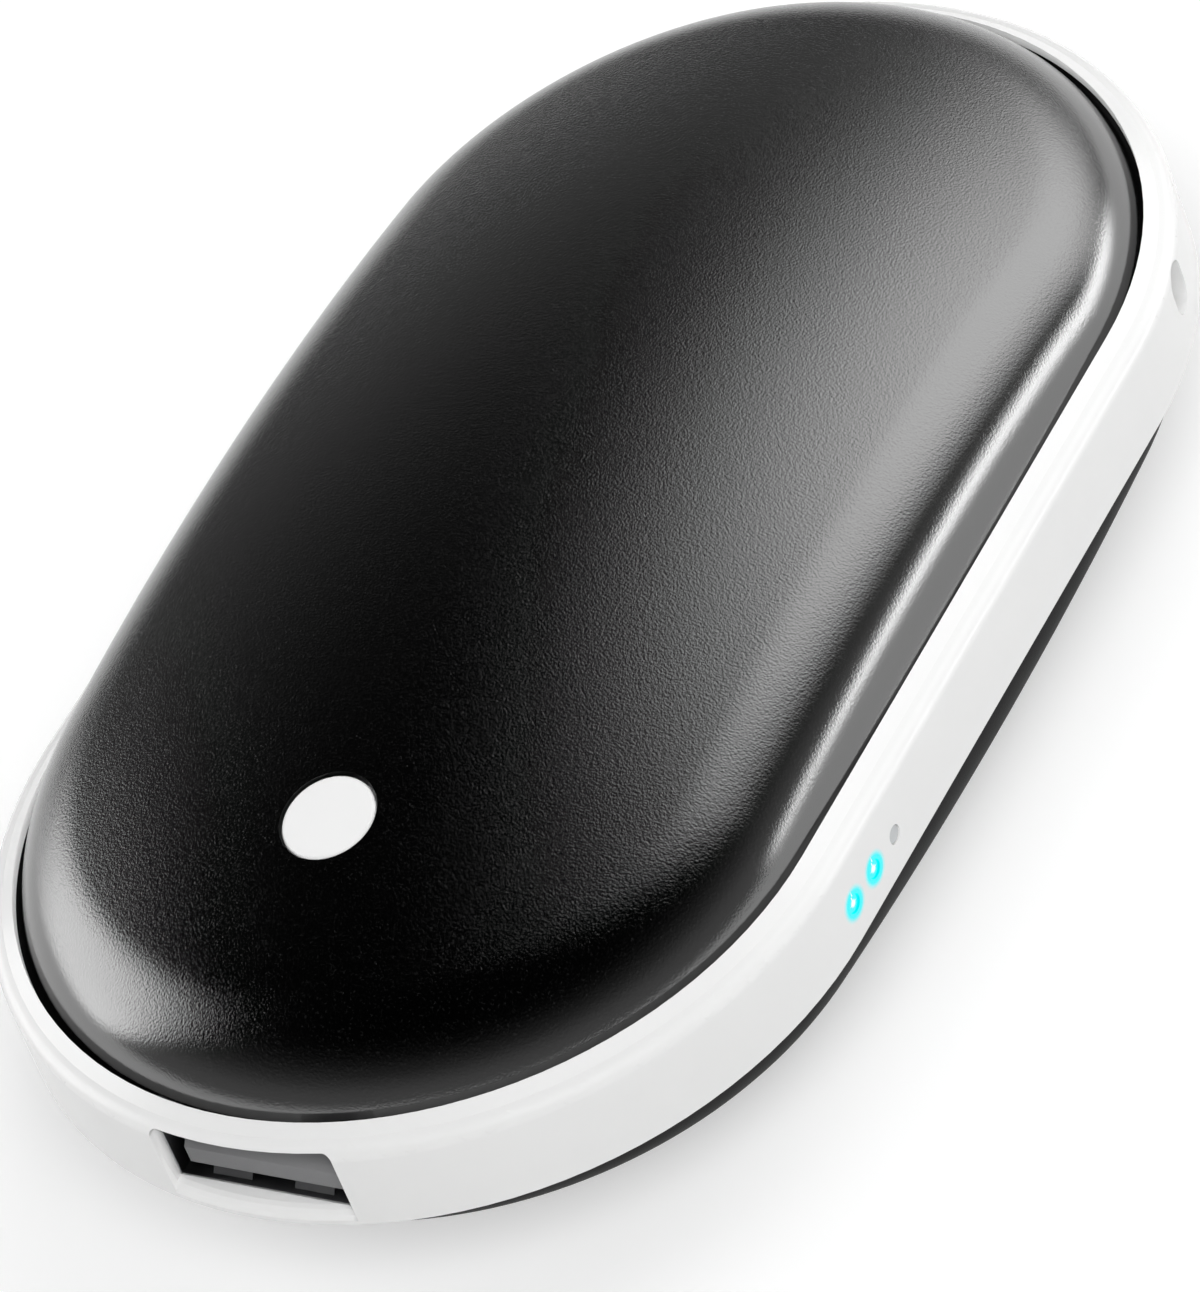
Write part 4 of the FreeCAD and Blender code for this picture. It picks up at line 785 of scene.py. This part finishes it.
def calm_shoulder(material):
    """Thins the grain towards the dome's rim, where the coat flows smoother over the shoulder."""
    tree = material.node_tree
    height = tree.nodes["Bump"].inputs["Height"]
    place = add(tree, "ShaderNodeGroup", node_tree=outline_place).outputs
    near_rim = mask_between(tree, place["Outward"], CALM_START, CALM_END)
    thinning = blend_value(tree, near_rim, 1.0, SHOULDER_GRAIN)
    tree.links.new(calculate(tree, "MULTIPLY", height.links[0].from_socket, thinning), height)


# Painted glints: pale specks on the tallest grains stand in for the coat's sparkle.
paint_glints(dome_paint)
calm_shoulder(dome_paint)

upper_skin = press_dome(UPPER_FORM)
face_out(upper_skin, Vector((0, 0, 0)))
button_axis = Vector((0, BUTTON_Y, 0))
cleared = [face for face in upper_skin.faces
           if (face.calc_center_median() - button_axis).xy.length < CLEAR_RADIUS]
bmesh.ops.delete(upper_skin, geom=cleared, context="FACES")
ragged = [edge for edge in upper_skin.edges if edge.is_boundary
          and all((vert.co - button_axis).xy.length < 2 * CLEAR_RADIUS for vert in edge.verts)]
hole = bmesh.ops.create_circle(upper_skin, segments=HOLE_STEPS, radius=HOLE_RADIUS,
                               matrix=Matrix.Translation(button_axis))["verts"]
for vert in hole:
    vert.co.z = crown(UPPER_FORM, vert.co.x, vert.co.y)[0]
hole_edges = list({edge for vert in hole for edge in vert.link_edges})
bmesh.ops.bridge_loops(upper_skin, edges=ragged + hole_edges)
bmesh.ops.translate(upper_skin, verts=upper_skin.verts, vec=(0, 0, RIM))
bmesh.ops.recalc_face_normals(upper_skin, faces=upper_skin.faces)
face_out(upper_skin, Vector((0, 0, RIM)))
bmesh.ops.solidify(upper_skin, geom=upper_skin.faces[:], thickness=SHELL_WALL)
upper_dome = make_piece("upper_dome", upper_skin)
dress(upper_dome, dome_paint, "case", "dome_paint", "top_shell")


# Button: a round cap moulded in white plastic, flush with the dome and crowned like it, with a softened
# edge. Its flange stops it from inside, and it rides on the switch's plunger.
button_white = grained_finish("button_white", dark=(0.90, 0.90, 0.895), light=(0.93, 0.93, 0.93),
                              roughness=(0.20, 0.27), pitch=0.25 * MM, depth=0.002 * MM)
button = make_piece("button", copy_of("button_cap"), crease=40)
dress(button, button_white, "button", "button_white", "button_cap")


# Studio: a pale floor under the lower dome, a large soft light beyond the far end, a smaller one on the
# left, a low strip on the far right and a fill from the camera's side. The sky is bright low down and dark
# overhead, and the camera looks down on the USB end from the right.
FLOOR_RADIUS = 4.0
FLOOR_STEPS = 96
FLOOR_GREY = (0.62, 0.62, 0.62, 1)
FLOOR_LIFT = 0.45
floor_shape = bmesh.new()
bmesh.ops.create_circle(floor_shape, segments=FLOOR_STEPS, radius=FLOOR_RADIUS, cap_ends=True)
floor = make_piece("floor", floor_shape)
floor_paint, floor_tree, floor_shader = new_finish("floor_paint", Base_Color=FLOOR_GREY, Roughness=0.8,
                                                   Specular_IOR_Level=0.1, Emission_Color=(1, 1, 1, 1))
ray = add(floor_tree, "ShaderNodeLightPath").outputs
seen = calculate(floor_tree, "MAXIMUM", ray["Is Camera Ray"], ray["Is Glossy Ray"])
seen = calculate(floor_tree, "MAXIMUM", seen, ray["Is Transmission Ray"])
floor_lift = calculate(floor_tree, "MULTIPLY", seen, FLOOR_LIFT)
floor_tree.links.new(floor_lift, floor_shader["Emission Strength"])
floor.data.materials.append(floor_paint)

SKY_LOW = 0.28
SKY_STOPS = ((0.20, 0.25), (0.45, 0.08), (0.62, 0.02), (0.75, 0.0))
world = bpy.data.worlds.new("studio")
world.use_nodes = True
bpy.context.scene.world = world
sky = world.node_tree
sky_side = add(sky, "ShaderNodeSeparateXYZ", {0: add(sky, "ShaderNodeTexCoord").outputs["Generated"]})
sky_ramp = add(sky, "ShaderNodeValToRGB", {0: sky_side.outputs["Z"]})
sky_fade = sky_ramp.color_ramp.elements
sky_fade[0].color = (SKY_LOW, SKY_LOW, SKY_LOW, 1)
sky_fade[1].color = (0, 0, 0, 1)
for height, level in SKY_STOPS:
    sky_fade.new(height).color = (level, level, level, 1)
sky.links.new(sky_ramp.outputs[0], sky.nodes["Background"].inputs["Color"])

LAMP_LAYERS = 3
LAYER_GAP = 0.005


def direction(azimuth, elevation):
    """The way to a lamp or the camera, in degrees. The azimuth runs from the far end to the right."""
    turn = math.radians(azimuth)
    lift = math.radians(elevation)
    return Vector((math.sin(turn) * math.cos(lift), math.cos(turn) * math.cos(lift), math.sin(lift)))


def soft_light(name, azimuth, elevation, distance, size, power, fade, mirrored=True):
    """A round or long lamp that faces the object. Its layers, each smaller by the fade, soften its edge."""
    toward = direction(azimuth, elevation)
    shares = [1 - fade * layer for layer in range(LAMP_LAYERS)]
    for layer, share in enumerate(shares):
        lamp = bpy.data.lights.new(name, "AREA")
        lamp.shape = "ELLIPSE"
        lamp.size = size[0] * share
        lamp.size_y = size[1] * share
        lamp.energy = power * share ** 2 / sum(other ** 2 for other in shares)
        holder = put_in_scene(name, lamp)
        holder.location = toward * (distance - LAYER_GAP * layer)
        holder.rotation_euler = toward.to_track_quat("Z", "Y").to_euler()
        holder.visible_glossy = mirrored


soft_light("far_softbox", azimuth=16, elevation=40, distance=0.60, size=(0.76, 0.78), power=2.35,
           fade=0.20)
soft_light("left_softbox", azimuth=-100, elevation=19, distance=0.60, size=(0.56, 0.56), power=1.85,
           fade=0.08)
soft_light("low_strip", azimuth=44, elevation=4, distance=0.60, size=(0.60, 0.12), power=0.70, fade=0.15)
soft_light("camera_fill", azimuth=140, elevation=46, distance=0.90, size=(0.9, 0.7), power=6.1, fade=0.20,
           mirrored=False)

AIM = Vector((2.72, -5.47, 12.55)) * MM
AZIMUTH = 137.873
ELEVATION = 41.361
ROLL = math.radians(-22.333)
DISTANCE = 582.95 * MM
SENSOR = 36.0
LENS = 265.98
CLIP_START = 10 * MM
camera = put_in_scene("camera", bpy.data.cameras.new("camera"))
camera.data.sensor_fit = "VERTICAL"
camera.data.sensor_height = SENSOR
camera.data.lens = LENS
camera.data.clip_start = CLIP_START
toward_camera = direction(AZIMUTH, ELEVATION)
level_turn = toward_camera.to_track_quat("Z", "Y").to_matrix().to_4x4()
camera.matrix_world = (Matrix.Translation(AIM + toward_camera * DISTANCE) @ level_turn
                       @ Matrix.Rotation(ROLL, 4, "Z"))
bpy.context.scene.camera = camera
bpy.context.scene.view_settings.view_transform = "Standard"
